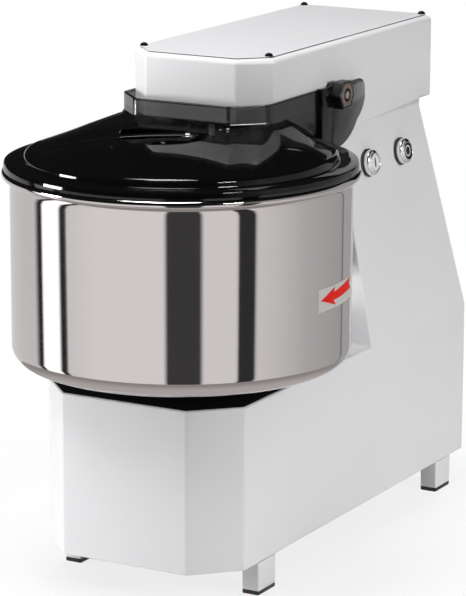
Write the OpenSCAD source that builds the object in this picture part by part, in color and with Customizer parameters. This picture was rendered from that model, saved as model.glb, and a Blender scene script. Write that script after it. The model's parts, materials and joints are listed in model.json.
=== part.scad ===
// Spiral dough mixer with a fixed head: a turning bowl, a turning spiral, a fixed breaker bar
// and a smoked cover that tilts up round the head. Two belts run from one upright drive shaft.
// Millimetres. +X is the right side as the user stands in front, -Y the front, +Z up. The origin is
// on the floor under the middle of the machine's outer box. Lengths named _y are counted from the
// bowl's axis, towards the back.

/* [Bowl] */
// Inside diameter of the bowl
bowl_d = 360; // [330:1:390]
// Sheet thickness of the bowl
bowl_wall = 1.2; // [0.8:0.1:2]
// Height from the bowl's underside to the middle of its rolled rim
bowl_h = 203; // [190:1:215]
// Outside radius between the bowl's wall and floor
bowl_corner_r = 20; // [12:1:30]
// Thickness of the rolled rim
rim_d = 9; // [6:0.5:11]
// How far the rim stands out from the bowl's wall
rim_out = 8.5; // [7:0.5:12]
// Gap between the top of the base and the underside of the bowl
bowl_gap = 21; // [19:1:30]

/* [Base] */
// Width of the base
base_w = 240; // [225:1:280]
// Height of the base's sides
base_h = 177; // [165:1:200]
// Reach of the base in front of the bowl's axis
base_front = 121; // [115:1:140]
// Reach of the base behind the bowl's axis
base_rear = 457.5; // [450:0.5:480]
// Width of the two cut front corners of the base
base_chamfer = 45; // [20:1:55]

/* [Legs] */
// Width of a leg tube, across the machine
leg_w = 20; // [16:1:30]
// Length of a leg tube, front to back
leg_l = 38; // [25:1:50]
// Wall of a leg tube
leg_wall = 2; // [1:0.5:3]
// Height of the base's underside above the floor
leg_h = 36; // [25:1:60]
// Height of the foot cap below the tube
foot_h = 5; // [3:0.5:10]
// Front of the front legs, from the bowl's axis
leg_front_y = -46; // [-60:1:-20]
// Front of the rear legs, from the bowl's axis
leg_rear_y = 387; // [360:1:400]

/* [Column] */
// Height of the column between the base and the head
column_h = 250; // [240:1:265]
// Front of the column at its foot
column_foot_y = 215; // [205:1:220]
// Front of the column under the head
column_top_y = 197; // [195:1:205]
// Back of the column under the head
column_back_y = 398; // [396:1:415]

/* [Head] */
// Width of the head
head_w = 170; // [160:1:190]
// Height of the head's sides at the back
head_h = 93; // [90:1:110]
// How much higher the head's front floor lies than its back part
head_drop = 24; // [15:1:28]
// Front of the head, from the bowl's axis
head_front_y = 18; // [14:1:22]
// Back of the head, from the bowl's axis
head_rear_y = 428; // [420:1:440]
// Width of the two cut front corners of the head
head_chamfer = 30; // [15:1:45]

/* [Sheet metal] */
// Thickness of the painted sheet
sheet = 2; // [1:0.1:3]
// Outside radius of the upright bends
bend_r = 6; // [4:0.5:9]
// Width of the inward flanges that the covers rest on
flange_w = 14; // [12:1:18]
// Thickness of the head's floor plate
floor_t = 3; // [2:0.5:5]
// Thickness of the top, rear and bottom covers
cover_t = 1.5; // [1:0.1:2]
// How far the top cover's edge lies inside the head's edge
cover_inset = 5; // [3:0.5:8]
// Head diameter of the cover screws
screw_head_d = 9; // [7:0.5:11]
// Shank diameter of the cover screws
screw_d = 5; // [4:0.5:6]

/* [Cover lid] */
// Thickness of the smoked lid
lid_wall = 2.5; // [2:0.1:4]
// Gap between the bowl's rim and the lid's lip
lid_gap = 2.5; // [2:0.5:5]
// Height of the lid's lip and flange
lip_h = 6; // [4:0.5:10]
// How far the lid's edge lies inside the rim's edge
lid_inset = 2.4; // [1:0.1:6]
// Diameter of the step between flange and dome
dome_d = 331; // [310:1:345]
// Height of that step
step_h = 10; // [6:0.5:14]
// Rise of the sloping dome
dome_rise = 28; // [22:1:32]
// Diameter of the flat top of the dome
plateau_d = 186; // [180:1:220]
// Height of the collar round the head
collar_h = 22; // [15:1:28]
// Gap between the head's sides and the collar
collar_gap = 2; // [1.5:0.1:4]
// Gap between the head's front and the collar
collar_front_gap = 18; // [16:0.5:24]
// Hinge axis, from the bowl's axis
hinge_y = 175; // [172:0.5:178]
// Hinge axis above the head's floor
hinge_up = 14; // [13.5:0.5:16]
// Radius of the lid's ears about the hinge
ear_r = 58; // [50:0.5:58]
// Radius of the half-round feed opening
feed_r = 55; // [35:1:60]
// Distance from the collar to the feed opening
feed_gap = 30; // [15:1:34]

/* [Hinge] */
// Diameter of the hinge pins
pin_d = 12; // [8:0.5:14]
// Width across the flats of the hinge knobs
knob_af = 30; // [24:1:36]
// Thickness of the hinge knobs
knob_t = 12; // [8:0.5:16]
// Outside diameter of the pivot bushes
bush_d = 20; // [17:0.5:24]
// Flange thickness of the pivot bushes
bush_flange_t = 6.5; // [4:0.5:9]
// Stroke of the lid switch plunger over the whole opening angle
plunger_stroke = 1.5; // [0.8:0.1:2]
// Opening angle of the lid
lid_angle = 70; // [40:1:70]

/* [Spiral and bar] */
// Axis of the spiral, from the bowl's axis
spiral_y = 112; // [108:0.5:114]
// Radius of the spiral, to the middle of its bar
spiral_r = 49; // [40:1:50]
// Diameter of the spiral's bar
spiral_bar_d = 18; // [14:1:20]
// Turns of the spiral
spiral_turns = 1.75; // [1:0.25:2.5]
// Axis of the breaker bar, from the bowl's axis
bar_y = 38; // [34:1:42]
// Diameter of the breaker bar
bar_d = 20; // [14:1:22]
// Gap between the tools and the bowl's floor
tool_gap = 7; // [6:0.5:14]

/* [Drive] */
// Axis of the drive shaft, from the bowl's axis
drive_y = 269; // [266:0.5:274]
// Diameter of the drive and spiral shafts
shaft_d = 25; // [20:1:28]
// Diameter of the bowl's shaft
bowl_shaft_d = 30; // [25:1:35]
// Width of the two ribbed belts
belt_w = 14; // [10:0.5:16]
// Thickness of the two ribbed belts
belt_t = 4; // [3:0.5:5]
// Diameter of the bowl's pulley, at the middle of its belt
bowl_pulley_d = 194; // [170:1:200]
// Diameter of the lower drive pulley, at the middle of its belt
lower_pulley_d = 48.5; // [46:0.5:56]
// Diameter of the upper drive pulley, at the middle of its belt
upper_pulley_d = 73.5; // [60:0.5:80]
// Diameter of the spiral's pulley, at the middle of its belt
spiral_pulley_d = 49; // [46:0.5:60]
// Height of the gear reducer
reducer_h = 60; // [50:1:80]
// Axis of the motor, from the bowl's axis
motor_y = 345; // [342:0.5:346]
// Diameter of the motor's body
motor_d = 100; // [90:1:104]
// Length of the motor's body
motor_l = 130; // [110:1:135]

/* [Buttons] */
// Start button, from the bowl's axis
button_y = 256; // [245:1:262]
// Distance between the two buttons
button_pitch = 82; // [60:1:90]
// Height of the buttons above the floor
button_z = 412; // [395:1:420]
// Diameter of the button's chrome bezel
bezel_d = 28; // [26:0.5:32]
// Height of the bezel in front of its gasket
bezel_h = 7; // [5:0.5:10]
// Diameter of the moving button
cap_d = 19; // [16:0.5:20]
// Travel of the moving button
button_travel = 3; // [2:0.5:4]

/* [Clearances] */
// Radial running clearance of the shafts and pins
run_gap = 0.05; // [0.02:0.01:0.1]
// Gap between pieces that slide or are fitted by hand
fit_gap = 0.3; // [0.2:0.05:0.5]

/* [Hidden] */
$fn = 64;

paint = "whitesmoke";
steel = "silver";
dark_steel = "dimgray";
smoked = [0.08, 0.08, 0.09, 0.75];
black_plastic = [0.06, 0.06, 0.06];

// Heights
base_top_z = leg_h + base_h;
bowl_z = base_top_z + bowl_gap;
bowl_floor_z = bowl_z + bowl_wall;
rim_z = bowl_z + bowl_h;
rim_top_z = rim_z + rim_d / 2;
head_back_z = base_top_z + column_h;
head_floor_z = head_back_z + head_drop;
head_top_z = head_back_z + head_h;
hinge_z = head_floor_z + hinge_up;

// Bowl and lid
bowl_r = bowl_d / 2 + bowl_wall;
rim_r = bowl_r + rim_out;
lid_r = rim_r - lid_inset;
dome_r = dome_d / 2;
plateau_r = plateau_d / 2;
lip_z = rim_top_z + lid_gap;
flange_z = lip_z + lip_h;
dome_z = flange_z + step_h;
plateau_z = dome_z + dome_rise;
collar_z = plateau_z + collar_h;
collar_in_w = head_w / 2 + collar_gap;
collar_in_y = head_front_y - collar_front_gap;
collar_chamfer = head_chamfer + 3;
edge_r = 4;
ear_in_x = head_w / 2 + bush_flange_t + fit_gap;
ear_out_x = ear_in_x + lid_wall;
ear_lead = 35;
ear_front_y = hinge_y - ear_lead;
ear_top_z = collar_z + 1;
moon_y = collar_in_y - lid_wall - feed_gap;

// Column and covers
tilt = atan((base_w - head_w) / 2 / column_h);
back_slope = (base_rear - column_back_y) / column_h;
front_slope = (column_foot_y - column_top_y) / column_h;
gland_out = 16;
gland_x = -base_w / 3;
gland_z = leg_h + 44;
axis_y = -(base_rear + gland_out - rim_r) / 2;
machine_l = base_front + base_rear;
rear_screw_end = 30;
rear_screw_neck = 40;
bottom_screw_end = 12;
bottom_screw_mid_y = 170;

// Standard parts
bolt_d = 8;
bolt_af = 13;
stud_d = 12;
stud_af = 19;
gland_d = 16;
gland_af = 24;
cord_d = 10;
button_hole_d = 22;
bowl_screw_d = 8;
bowl_screw_pcd = 70;
shank_gap = 0.2;
plunger_d = 4;
plunger_l = 12;
screw_head_h = 3;
screw_tail = 4;
cover_screw_head_h = 3.5;
cover_screw_tail = 5;

// Drive train
belt_steps = 48;
pulley_rim = 1.5;
pulley_w = belt_w + 2 * (fit_gap + pulley_rim);
pulley_web = 6;
bearing_w = 15;
bearing_ring = 13.5;
bowl_belt_drop = 63;
spiral_belt_rise = 42;
shaft_end = 4;
bowl_shaft_end = 6;
bowl_belt_z = base_top_z - bowl_belt_drop;
spiral_belt_z = head_floor_z + floor_t + spiral_belt_rise;
shaft_foot_z = bowl_belt_z - pulley_w / 2 - shaft_end;
shaft_head_z = spiral_belt_z + pulley_w / 2 + shaft_end;
housing_room = 4;
bowl_housing_wall = 8;
bowl_housing_d = bowl_shaft_d + 2 * (bearing_ring + bowl_housing_wall);
bowl_flange_w = 20;
bowl_flange_t = 7;
hub_t = 8;
hub_d = 110;
spiral_housing_wall = 6;
spiral_housing_d = shaft_d + 2 * (bearing_ring + spiral_housing_wall);
spiral_housing_rise = 30;
spiral_flange_w = 15;
spiral_flange_t = 7;
spiral_nose = 14;
nose_gap = 2;
spiral_hub_z = head_floor_z - spiral_nose - nose_gap;
spiral_hub_h = 16;
spiral_hub_wall = 7.5;
spiral_hub_lap = 2;
spiral_neck = 2.5;
socket_floor = 4;
bracket_rise = 6;
bracket_z = head_floor_z + bracket_rise;
bracket_seat = 2;
bracket_t = 5;
reducer_top_z = base_top_z + reducer_h;
foot_t = 8;
fan_cover_h = 30;
button_tail = 14;
gasket_t = 1;
control_w = base_w / 2;
control_l = 100;
control_h = 70;

// Points of a polygon with the corner at each point rounded to the radius given for it
function unit(v) = v / norm(v);
function corner(p, a, b, r) =
  let(
    u = unit(a - p), v = unit(b - p), half = acos(u * v) / 2, m = unit(u + v),
    c = p + m * r / sin(half), s = unit(p + u * r / tan(half) - c), e = unit(p + v * r / tan(half) - c),
    w = acos(s * e), n = max(2, ceil(w / 15))
  )
  [for (i = [0:n]) c + r * (sin(w - i * w / n) * s + sin(i * w / n) * e) / sin(w)];
function rounded(pts, radii) =
  let(n = len(pts))
  [for (i = [0:n - 1])
    each radii[i] > 0 ? corner(pts[i], pts[(i + n - 1) % n], pts[(i + 1) % n], radii[i]) : [pts[i]]];

// Plan of a box with cut front corners, drawn inwards by an inset that leaves its back alone
function cut_box(half_w, front, rear, cut, inset, r) =
  let(w = half_w - inset, f = front + inset, c = cut - inset * (2 - sqrt(2)), q = max(0.5, r - inset))
  rounded(
    [[-w, rear], [-w, f + c], [-w + c, f], [w - c, f], [w, f + c], [w, rear]],
    [0, q, q, q, q, 0]
  );

function column_half(z) = base_w / 2 - (z - base_top_z) * tan(tilt);
function column_back(z) = base_rear - max(0, z - base_top_z) * back_slope;
function column_front(z) = column_foot_y - (z - base_top_z) * front_slope;

module place() translate([0, axis_y, 0]) children();

// A solid with a side view in Y and Z, as wide as the machine
module side_prism(pts)
  translate([-base_w, 0, 0]) rotate([90, 0, 90]) linear_extrude(2 * base_w) polygon(pts);

// A solid with a front view in X and Z, as long as the machine
module front_prism(pts)
  translate([0, machine_l, 0]) rotate([90, 0, 0]) linear_extrude(2 * machine_l) polygon(pts);

module both_sides() {
  children();
  mirror([1, 0, 0]) children();
}

// Local +Z points out of the tilted right side of the column, at one height
module on_panel(y, z) translate([column_half(z), y, z]) rotate([0, 90 - tilt, 0]) children();

module hex(af, h) cylinder(d = af / cos(30), h = h, $fn = 6);

module dome_screw(head_d, head_h, d, l) {
  ball = (head_d * head_d / 4 + head_h * head_h) / (2 * head_h);
  difference() {
    intersection() {
      translate([0, 0, head_h - ball]) sphere(ball);
      cylinder(d = head_d, h = head_h);
    }
    translate([0, 0, head_h * 0.4]) hex(head_d * 0.4, head_h);
  }
  translate([0, 0, -l]) cylinder(d = d, h = l + 0.01);
}

// BASE

base_half = base_w / 2;
bottom_screw_y = [leg_front_y + leg_l + bottom_screw_end, bottom_screw_mid_y, leg_rear_y - bottom_screw_end];
bottom_screw_at = [for (x = [-1, 1], y = bottom_screw_y) [x * (base_half - sheet - flange_w / 2), y]];
reducer_bolt_at = [for (x = [-1, 1], y = [drive_y - 18, motor_y + 18]) [x * (motor_d / 2 + 14), y]];

module base_plan(inset, rear = base_rear)
  polygon(cut_box(base_half, -base_front, rear, base_chamfer, inset, bend_r));

// Screw places along one side of the rear cover: across, and height
rear_screw_at = [for (z = [leg_h + rear_screw_end, base_top_z - rear_screw_end,
    base_top_z + rear_screw_neck, head_back_z - rear_screw_neck])
  [column_half(max(z, base_top_z)) - sheet - flange_w / 2, z]];

// Local +Z points straight out of the back, at one place on it
module on_back(x, z)
  translate([x, column_back(z), z])
    rotate([z > base_top_z ? -90 + atan(back_slope) : -90, 0, 0]) children();

// A band that follows the back of the base and column, between two depths
module back_band(d0, d1, z0, z1)
  side_prism([
    [column_back(z0) - d0, z0], [base_rear - d0, base_top_z], [column_back(z1) - d0, z1],
    [column_back(z1) - d1, z1], [base_rear - d1, base_top_z], [column_back(z0) - d1, z0]
  ]);

// Front view of the base and column, drawn inwards
module width_prism(inset, z0, z1)
  front_prism([
    [-base_half + inset, z0], [base_half - inset, z0], [base_half - inset, base_top_z],
    [column_half(z1) - inset / cos(tilt), z1], [-column_half(z1) + inset / cos(tilt), z1],
    [-base_half + inset, base_top_z]
  ]);

module rear_screw_holes(r)
  both_sides() for (p = rear_screw_at) on_back(p[0], p[1])
    translate([0, 0, -flange_w]) cylinder(r = r, h = 2 * flange_w);

module base_shell() color(paint) {
  difference() {
    translate([0, 0, leg_h]) linear_extrude(base_h) base_plan(0);
    translate([0, 0, leg_h + sheet]) linear_extrude(base_h - 2 * sheet) base_plan(sheet, base_rear + 1);
    translate([0, 0, leg_h - 1]) linear_extrude(sheet + 2)
      difference() {
        base_plan(sheet + flange_w);
        translate([-base_half, base_rear - sheet - flange_w]) square([base_w, flange_w + sheet]);
      }
    translate([0, 0, base_top_z - sheet - 1]) {
      cylinder(d = bowl_housing_d + 2 * fit_gap, h = sheet + 2);
      translate([0, drive_y, 0]) cylinder(d = shaft_d + 20, h = sheet + 2);
      translate([60, motor_y + 40, 0]) cylinder(d = 30, h = sheet + 2);
      for (p = reducer_bolt_at) translate(p) cylinder(d = bolt_d + 2 * fit_gap, h = sheet + 2);
    }
    for (p = bottom_screw_at) translate([p[0], p[1], leg_h - 1]) cylinder(d = screw_d, h = sheet + 2);
    translate([-base_half + sheet, base_rear - cover_t, leg_h + sheet])
      cube([base_w - 2 * sheet, 2 * flange_w, base_h]);
    rear_screw_holes(screw_d / 2);
  }
  // Flanges that the rear cover is screwed to
  difference() {
    intersection() {
      back_band(cover_t, cover_t + sheet, leg_h + sheet, base_top_z - sheet);
      both_sides() translate([base_half - sheet - flange_w, 0, 0])
        cube([flange_w + sheet / 2, machine_l, base_top_z]);
    }
    rear_screw_holes(screw_d / 2);
  }
}

module bottom_plate() color("lightgray")
  difference() {
    translate([0, 0, leg_h + sheet]) linear_extrude(cover_t)
      difference() {
        base_plan(sheet + fit_gap);
        translate([-base_half, base_rear - sheet - cover_t - fit_gap]) square([base_w, flange_w]);
      }
    for (p = bottom_screw_at) translate([p[0], p[1], leg_h]) cylinder(d = screw_d, h = 2 * (sheet + cover_t));
  }

module bottom_plate_screws() color(steel)
  for (p = bottom_screw_at) translate([p[0], p[1], leg_h]) mirror([0, 0, 1])
    dome_screw(screw_head_d, screw_head_h, screw_d - shank_gap, sheet + cover_t + screw_tail);

// LEGS

module leg(x_side, front_y) color(paint)
  translate([x_side * (base_half - leg_w / 2), front_y + leg_l / 2, foot_h])
    difference() {
      translate([-leg_w / 2, -leg_l / 2, 0]) cube([leg_w, leg_l, leg_h - foot_h]);
      translate([-leg_w / 2 + leg_wall, -leg_l / 2 + leg_wall, -1])
        cube([leg_w - 2 * leg_wall, leg_l - 2 * leg_wall, leg_h - foot_h - leg_wall + 1]);
    }

module leg_front_left() leg(-1, leg_front_y);
module leg_front_right() leg(1, leg_front_y);
module leg_rear_left() leg(-1, leg_rear_y);
module leg_rear_right() leg(1, leg_rear_y);

module foot_caps() color(black_plastic)
  for (x = [-1, 1], y = [leg_front_y, leg_rear_y])
    translate([x * (base_half - leg_w / 2), y + leg_l / 2, 0]) {
      linear_extrude(foot_h)
        polygon(rounded(
          [for (p = [[-1, -1], [1, -1], [1, 1], [-1, 1]]) [p[0] * leg_w / 2, p[1] * leg_l / 2]],
          [2, 2, 2, 2]
        ));
      plug = [leg_w - 2 * leg_wall - 0.2, leg_l - 2 * leg_wall - 0.2, 12];
      translate([-plug[0] / 2, -plug[1] / 2, foot_h - 0.01]) cube(plug);
    }

// COLUMN AND HEAD

// The open column: side and front sheets between the base and the head
module column_solid(inset, z0, z1, back)
  intersection() {
    side_prism([
      [column_front(z0) + inset / cos(atan(front_slope)), z0],
      [column_front(z1) + inset / cos(atan(front_slope)), z1],
      [column_back(z1) + back, z1], [column_back(z0) + back, z0]
    ]);
    width_prism(inset, z0, z1);
  }

module column_shell() color(paint) {
  difference() {
    column_solid(0, base_top_z, head_back_z, 0);
    column_solid(sheet, base_top_z - 1, head_back_z + 1, 50);
    for (k = [0, 1]) on_panel(button_y + k * button_pitch, button_z)
      translate([0, 0, -10]) cylinder(d = button_hole_d + 2 * fit_gap, h = 20);
  }
  difference() {
    intersection() {
      back_band(cover_t, cover_t + sheet, base_top_z, head_back_z);
      difference() {
        width_prism(sheet / 2, base_top_z, head_back_z);
        width_prism(sheet + flange_w, base_top_z, head_back_z);
      }
    }
    rear_screw_holes(screw_d / 2);
  }
}

head_half = head_w / 2;
throat_y = column_front(head_floor_z);

module head_plan(inset, rear = 0)
  polygon(cut_box(head_half, head_front_y, head_rear_y - rear, head_chamfer, inset, bend_r));

module head_shell() color(paint)
  difference() {
    intersection() {
      side_prism([
        [head_front_y, head_floor_z], [throat_y, head_floor_z], [column_top_y, head_back_z],
        [head_rear_y, head_back_z], [head_rear_y, head_top_z], [head_front_y, head_top_z]
      ]);
      translate([0, 0, head_back_z]) linear_extrude(head_h) head_plan(0);
    }
    // The room for the drive, open to the column below
    intersection() {
      side_prism([
        [0, head_floor_z + floor_t], [throat_y + sheet, head_floor_z + floor_t],
        [column_top_y + sheet, head_back_z - 1], [column_back_y - sheet - cover_t, head_back_z - 1],
        [column_back_y - sheet - cover_t, head_back_z + sheet], [head_rear_y, head_back_z + sheet],
        [head_rear_y, head_top_z - sheet], [0, head_top_z - sheet]
      ]);
      translate([0, 0, head_back_z - 2]) linear_extrude(head_h + 4) head_plan(sheet, sheet);
    }
    translate([0, 0, head_top_z - sheet - 1]) linear_extrude(sheet + 2)
      head_plan(sheet + flange_w, sheet + flange_w);
    for (p = cover_screw_at) translate([p[0], p[1], head_top_z - sheet - 1])
      cylinder(d = screw_d, h = sheet + 2);
    translate([0, spiral_y, head_floor_z - 1])
      cylinder(d = spiral_housing_d + 2 * fit_gap, h = floor_t + 2);
    translate([0, bar_y, head_floor_z - 1]) cylinder(d = stud_d + 2 * fit_gap, h = floor_t + 2);
    both_sides() on_hinge() translate([0, 0, head_half - sheet - 1])
      cylinder(d = bush_d + 2 * run_gap, h = sheet + 2);
  }

cover_screw_in = sheet + flange_w / 2;
cover_screw_at = [for (x = [-1, 1], y = [head_front_y + head_chamfer + 4, head_rear_y - cover_screw_in])
  [x * (head_half - cover_screw_in), y]];

module head_cover() color(paint)
  translate([0, 0, head_top_z])
    difference() {
      linear_extrude(cover_t) head_plan(cover_inset, cover_inset);
      for (p = cover_screw_at) translate([p[0], p[1], -1]) cylinder(d = screw_d, h = cover_t + 2);
    }

module head_cover_screws() color(steel)
  for (p = cover_screw_at) translate([p[0], p[1], head_top_z + cover_t])
    dome_screw(screw_head_d, cover_screw_head_h, screw_d - shank_gap, cover_t + sheet + cover_screw_tail);

vent_at = [for (k = [0:5]) head_back_z - 75 - k * 14];

module rear_cover() color(paint)
  difference() {
    intersection() {
      back_band(0, cover_t, leg_h + sheet + fit_gap, head_back_z - fit_gap);
      width_prism(sheet + fit_gap, leg_h, head_back_z);
    }
    rear_screw_holes(screw_d / 2);
    for (z = vent_at) on_back(0, z) translate([-40, -2.5, -5]) cube([80, 5, 10]);
    on_back(gland_x, gland_z) translate([0, 0, -5]) cylinder(d = gland_d + 2 * fit_gap, h = 10);
  }

module rear_cover_screws() color(steel)
  both_sides() for (p = rear_screw_at) on_back(p[0], p[1])
    dome_screw(screw_head_d, screw_head_h, screw_d - shank_gap, cover_t + sheet + screw_tail);

module cable_gland() color(black_plastic)
  on_back(gland_x, gland_z)
    difference() {
      union() {
        translate([0, 0, -cover_t - 14]) cylinder(d = gland_d, h = cover_t + 15);
        hex(gland_af, 5);
        translate([0, 0, 4.9]) cylinder(d = 20, h = gland_out - 4.9);
        translate([0, 0, -cover_t - 5]) hex(gland_af, 5);
      }
      translate([0, 0, -cover_t - 15]) cylinder(d = cord_d, h = gland_out + cover_t + 20);
    }

// BOWL

module bowl() color(steel)
  difference() {
    rotate_extrude($fn = 128) {
      translate([0, bowl_z]) square([bowl_r - bowl_corner_r, bowl_wall]);
      translate([bowl_r - bowl_wall, bowl_z + bowl_corner_r]) square([bowl_wall, bowl_h - bowl_corner_r]);
      translate([bowl_r - bowl_corner_r, bowl_z + bowl_corner_r])
        intersection() {
          difference() {
            circle(bowl_corner_r);
            circle(bowl_corner_r - bowl_wall);
          }
          translate([0, -bowl_corner_r]) square(bowl_corner_r);
        }
      // The wall flares out into the rolled rim
      polygon([
        [bowl_r - bowl_wall / 2, rim_z - 1.6 * rim_d], [rim_r - rim_d * 0.8, rim_z - rim_d * 0.35],
        [rim_r - rim_d / 2, rim_z + rim_d * 0.1], [bowl_r - bowl_wall, rim_z]
      ]);
      translate([rim_r - rim_d / 2, rim_z]) circle(d = rim_d);
    }
    for (p = bowl_screw_at) translate([p[0], p[1], bowl_z - 1])
      cylinder(d = bowl_screw_d, h = bowl_wall + 2);
  }

bowl_screw_at = [for (a = [45:90:315]) bowl_screw_pcd / 2 * [cos(a), sin(a)]];

module bowl_hub() color(dark_steel)
  difference() {
    translate([0, 0, bowl_z - hub_t]) cylinder(d = hub_d, h = hub_t);
    translate([0, 0, bowl_z - hub_t - 1]) cylinder(d = bowl_shaft_d, h = hub_t + 2);
    for (p = bowl_screw_at) translate([p[0], p[1], bowl_z - hub_t - 1])
      cylinder(d = bowl_screw_d, h = hub_t + 2);
  }

module bowl_screws() color(steel)
  for (p = bowl_screw_at) translate([p[0], p[1], bowl_floor_z])
    dome_screw(2 * bowl_screw_d - 1, 4, bowl_screw_d - shank_gap, bowl_wall + hub_t);

bowl_key_z = bowl_belt_z - pulley_w / 2;

module bowl_shaft() color(steel)
  translate([0, 0, bowl_key_z - bowl_shaft_end])
    cylinder(d = bowl_shaft_d, h = bowl_z - bowl_key_z + bowl_shaft_end);

// Ball bearing with its inner face a running gap away from the shaft
module bearing(d, w)
  difference() {
    cylinder(d = d + 2 * bearing_ring, h = w);
    translate([0, 0, -1]) cylinder(d = d + 2 * run_gap, h = w + 2);
    for (z = [-0.01, w - 0.79]) translate([0, 0, z])
      difference() {
        cylinder(d = d + 1.4 * bearing_ring, h = 0.8);
        translate([0, 0, -1]) cylinder(d = d + 0.6 * bearing_ring, h = 3);
      }
  }

bowl_housing_l = 48;

module bowl_bearing_housing() color("slategray")
  difference() {
    union() {
      translate([0, 0, base_top_z]) cylinder(d = bowl_housing_d + 2 * bowl_flange_w, h = bowl_flange_t);
      translate([0, 0, base_top_z - bowl_housing_l]) cylinder(d = bowl_housing_d, h = bowl_housing_l + 1);
    }
    translate([0, 0, base_top_z - bowl_housing_l - 1])
      cylinder(d = bowl_shaft_d + 2 * housing_room, h = bowl_housing_l + 2 * bearing_w);
    for (z = [bowl_bearing_at[0] - bearing_w, bowl_bearing_at[1]]) translate([0, 0, z])
      cylinder(d = bowl_shaft_d + 2 * bearing_ring, h = 2 * bearing_w);
  }

bowl_bearing_at = [base_top_z - bowl_housing_l + 1, base_top_z + bowl_flange_t - bearing_w - 1];

module bowl_bearings() color("gainsboro")
  for (z = bowl_bearing_at) translate([0, 0, z]) bearing(bowl_shaft_d, bearing_w);

// BELTS AND PULLEYS

// A flanged pulley with a thin web. Its floor lies a hand-fit gap inside the belt.
module pulley(d, bore_d, hub_d, hub_h) {
  floor_r = (d - belt_t) / 2 - fit_gap;
  web_r = floor_r - 7;
  difference() {
    union() {
      translate([0, 0, -pulley_w / 2]) cylinder(r = floor_r, h = pulley_w);
      for (z = [-pulley_w / 2, pulley_w / 2 - pulley_rim])
        translate([0, 0, z]) cylinder(r = floor_r + belt_t + 1, h = pulley_rim);
      translate([0, 0, -pulley_w / 2]) cylinder(d = hub_d, h = pulley_w / 2 + hub_h);
    }
    if (web_r > hub_d / 2 + 10)
      for (z = [-pulley_w / 2 - 1, pulley_web / 2]) translate([0, 0, z])
        difference() {
          cylinder(r = web_r, h = (pulley_w - pulley_web) / 2 + 1);
          translate([0, 0, -1]) cylinder(d = hub_d, h = pulley_w + 2);
        }
    translate([0, 0, -50]) cylinder(d = bore_d, h = 100);
  }
}

// Loop round a front pulley and a rear one, at one distance outside the belt's middle line
function loop_points(y0, d0, y1, d1, off) =
  let(lean = asin((d0 - d1) / 2 / (y1 - y0)))
  concat(
    [for (k = [0:belt_steps]) let(a = 180 - lean + (180 + 2 * lean) * k / belt_steps)
      [0, y0] + (d0 / 2 + off) * [cos(a), sin(a)]],
    [for (k = [0:belt_steps]) let(a = lean + (180 - 2 * lean) * k / belt_steps)
      [0, y1] + (d1 / 2 + off) * [cos(a), sin(a)]]
  );

module belt(y0, d0, y1, d1)
  translate([0, 0, -belt_w / 2]) linear_extrude(belt_w)
    difference() {
      polygon(loop_points(y0, d0, y1, d1, belt_t / 2));
      polygon(loop_points(y0, d0, y1, d1, -belt_t / 2));
    }

module bowl_pulley() color(dark_steel)
  translate([0, 0, bowl_belt_z]) pulley(bowl_pulley_d, bowl_shaft_d, bowl_shaft_d + 24, pulley_w / 2 + 3);

module lower_drive_pulley() color(dark_steel)
  translate([0, drive_y, bowl_belt_z]) pulley(lower_pulley_d, shaft_d, shaft_d + 9, pulley_w / 2 + 5);

module upper_drive_pulley() color(dark_steel)
  translate([0, drive_y, spiral_belt_z]) pulley(upper_pulley_d, shaft_d, shaft_d + 14, pulley_w / 2 + 3);

module spiral_pulley() color(dark_steel)
  translate([0, spiral_y, spiral_belt_z]) pulley(spiral_pulley_d, shaft_d, shaft_d + 9, pulley_w / 2 + 3);

module bowl_belt() color(black_plastic)
  translate([0, 0, bowl_belt_z]) belt(0, bowl_pulley_d, drive_y, lower_pulley_d);

module spiral_belt() color(black_plastic)
  translate([0, 0, spiral_belt_z]) belt(spiral_y, spiral_pulley_d, drive_y, upper_pulley_d);

// DRIVE SHAFT, REDUCER AND MOTOR

module drive_shaft() color(steel)
  translate([0, drive_y, shaft_foot_z]) cylinder(d = shaft_d, h = shaft_head_z - shaft_foot_z);

bracket_l = 76;

module shaft_bracket() color("slategray")
  translate([0, drive_y, bracket_z])
    difference() {
      union() {
        translate([-head_half + sheet, -bracket_l / 2, 0]) cube([head_w - 2 * sheet, bracket_l, bracket_t]);
        cylinder(d = spiral_housing_d, h = bearing_w + bracket_seat);
      }
      translate([0, 0, bracket_seat]) cylinder(d = shaft_d + 2 * bearing_ring, h = 2 * bearing_w);
      translate([0, 0, -1]) cylinder(d = shaft_d + 2 * housing_room, h = bearing_w);
    }

module drive_bearing() color("gainsboro")
  translate([0, drive_y, bracket_z + bracket_seat]) bearing(shaft_d, bearing_w);

module gear_reducer() color("steelblue")
  translate([0, 0, base_top_z])
    difference() {
      union() {
        linear_extrude(reducer_h) {
          translate([0, drive_y]) circle(d = shaft_d + 60);
          translate([0, motor_y]) circle(d = motor_d + 6);
          polygon([
            [-shaft_d / 2 - 29, drive_y], [shaft_d / 2 + 29, drive_y],
            [motor_d / 2 + 2, motor_y], [-motor_d / 2 - 2, motor_y]
          ]);
        }
        linear_extrude(foot_t)
          polygon(rounded(
            [for (p = [[-1, -1], [1, -1], [1, 1], [-1, 1]])
              [p[0] * (motor_d / 2 + 26), (p[1] < 0 ? drive_y : motor_y) + p[1] * 30]],
            [10, 10, 10, 10]
          ));
      }
      translate([0, drive_y, -1]) cylinder(d = shaft_d + 2 * run_gap, h = reducer_h + 2);
      for (p = reducer_bolt_at) translate([p[0], p[1], -1]) cylinder(d = bolt_d + 2 * fit_gap, h = 30);
    }

module reducer_bolts() color(steel)
  for (p = reducer_bolt_at) translate([p[0], p[1], base_top_z + foot_t]) {
    hex(bolt_af, 5.5);
    translate([0, 0, -foot_t - sheet - 8]) cylinder(d = bolt_d, h = foot_t + sheet + 8.01);
    translate([0, 0, -foot_t - sheet - 6.5]) hex(bolt_af, 6.5);
  }

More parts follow.
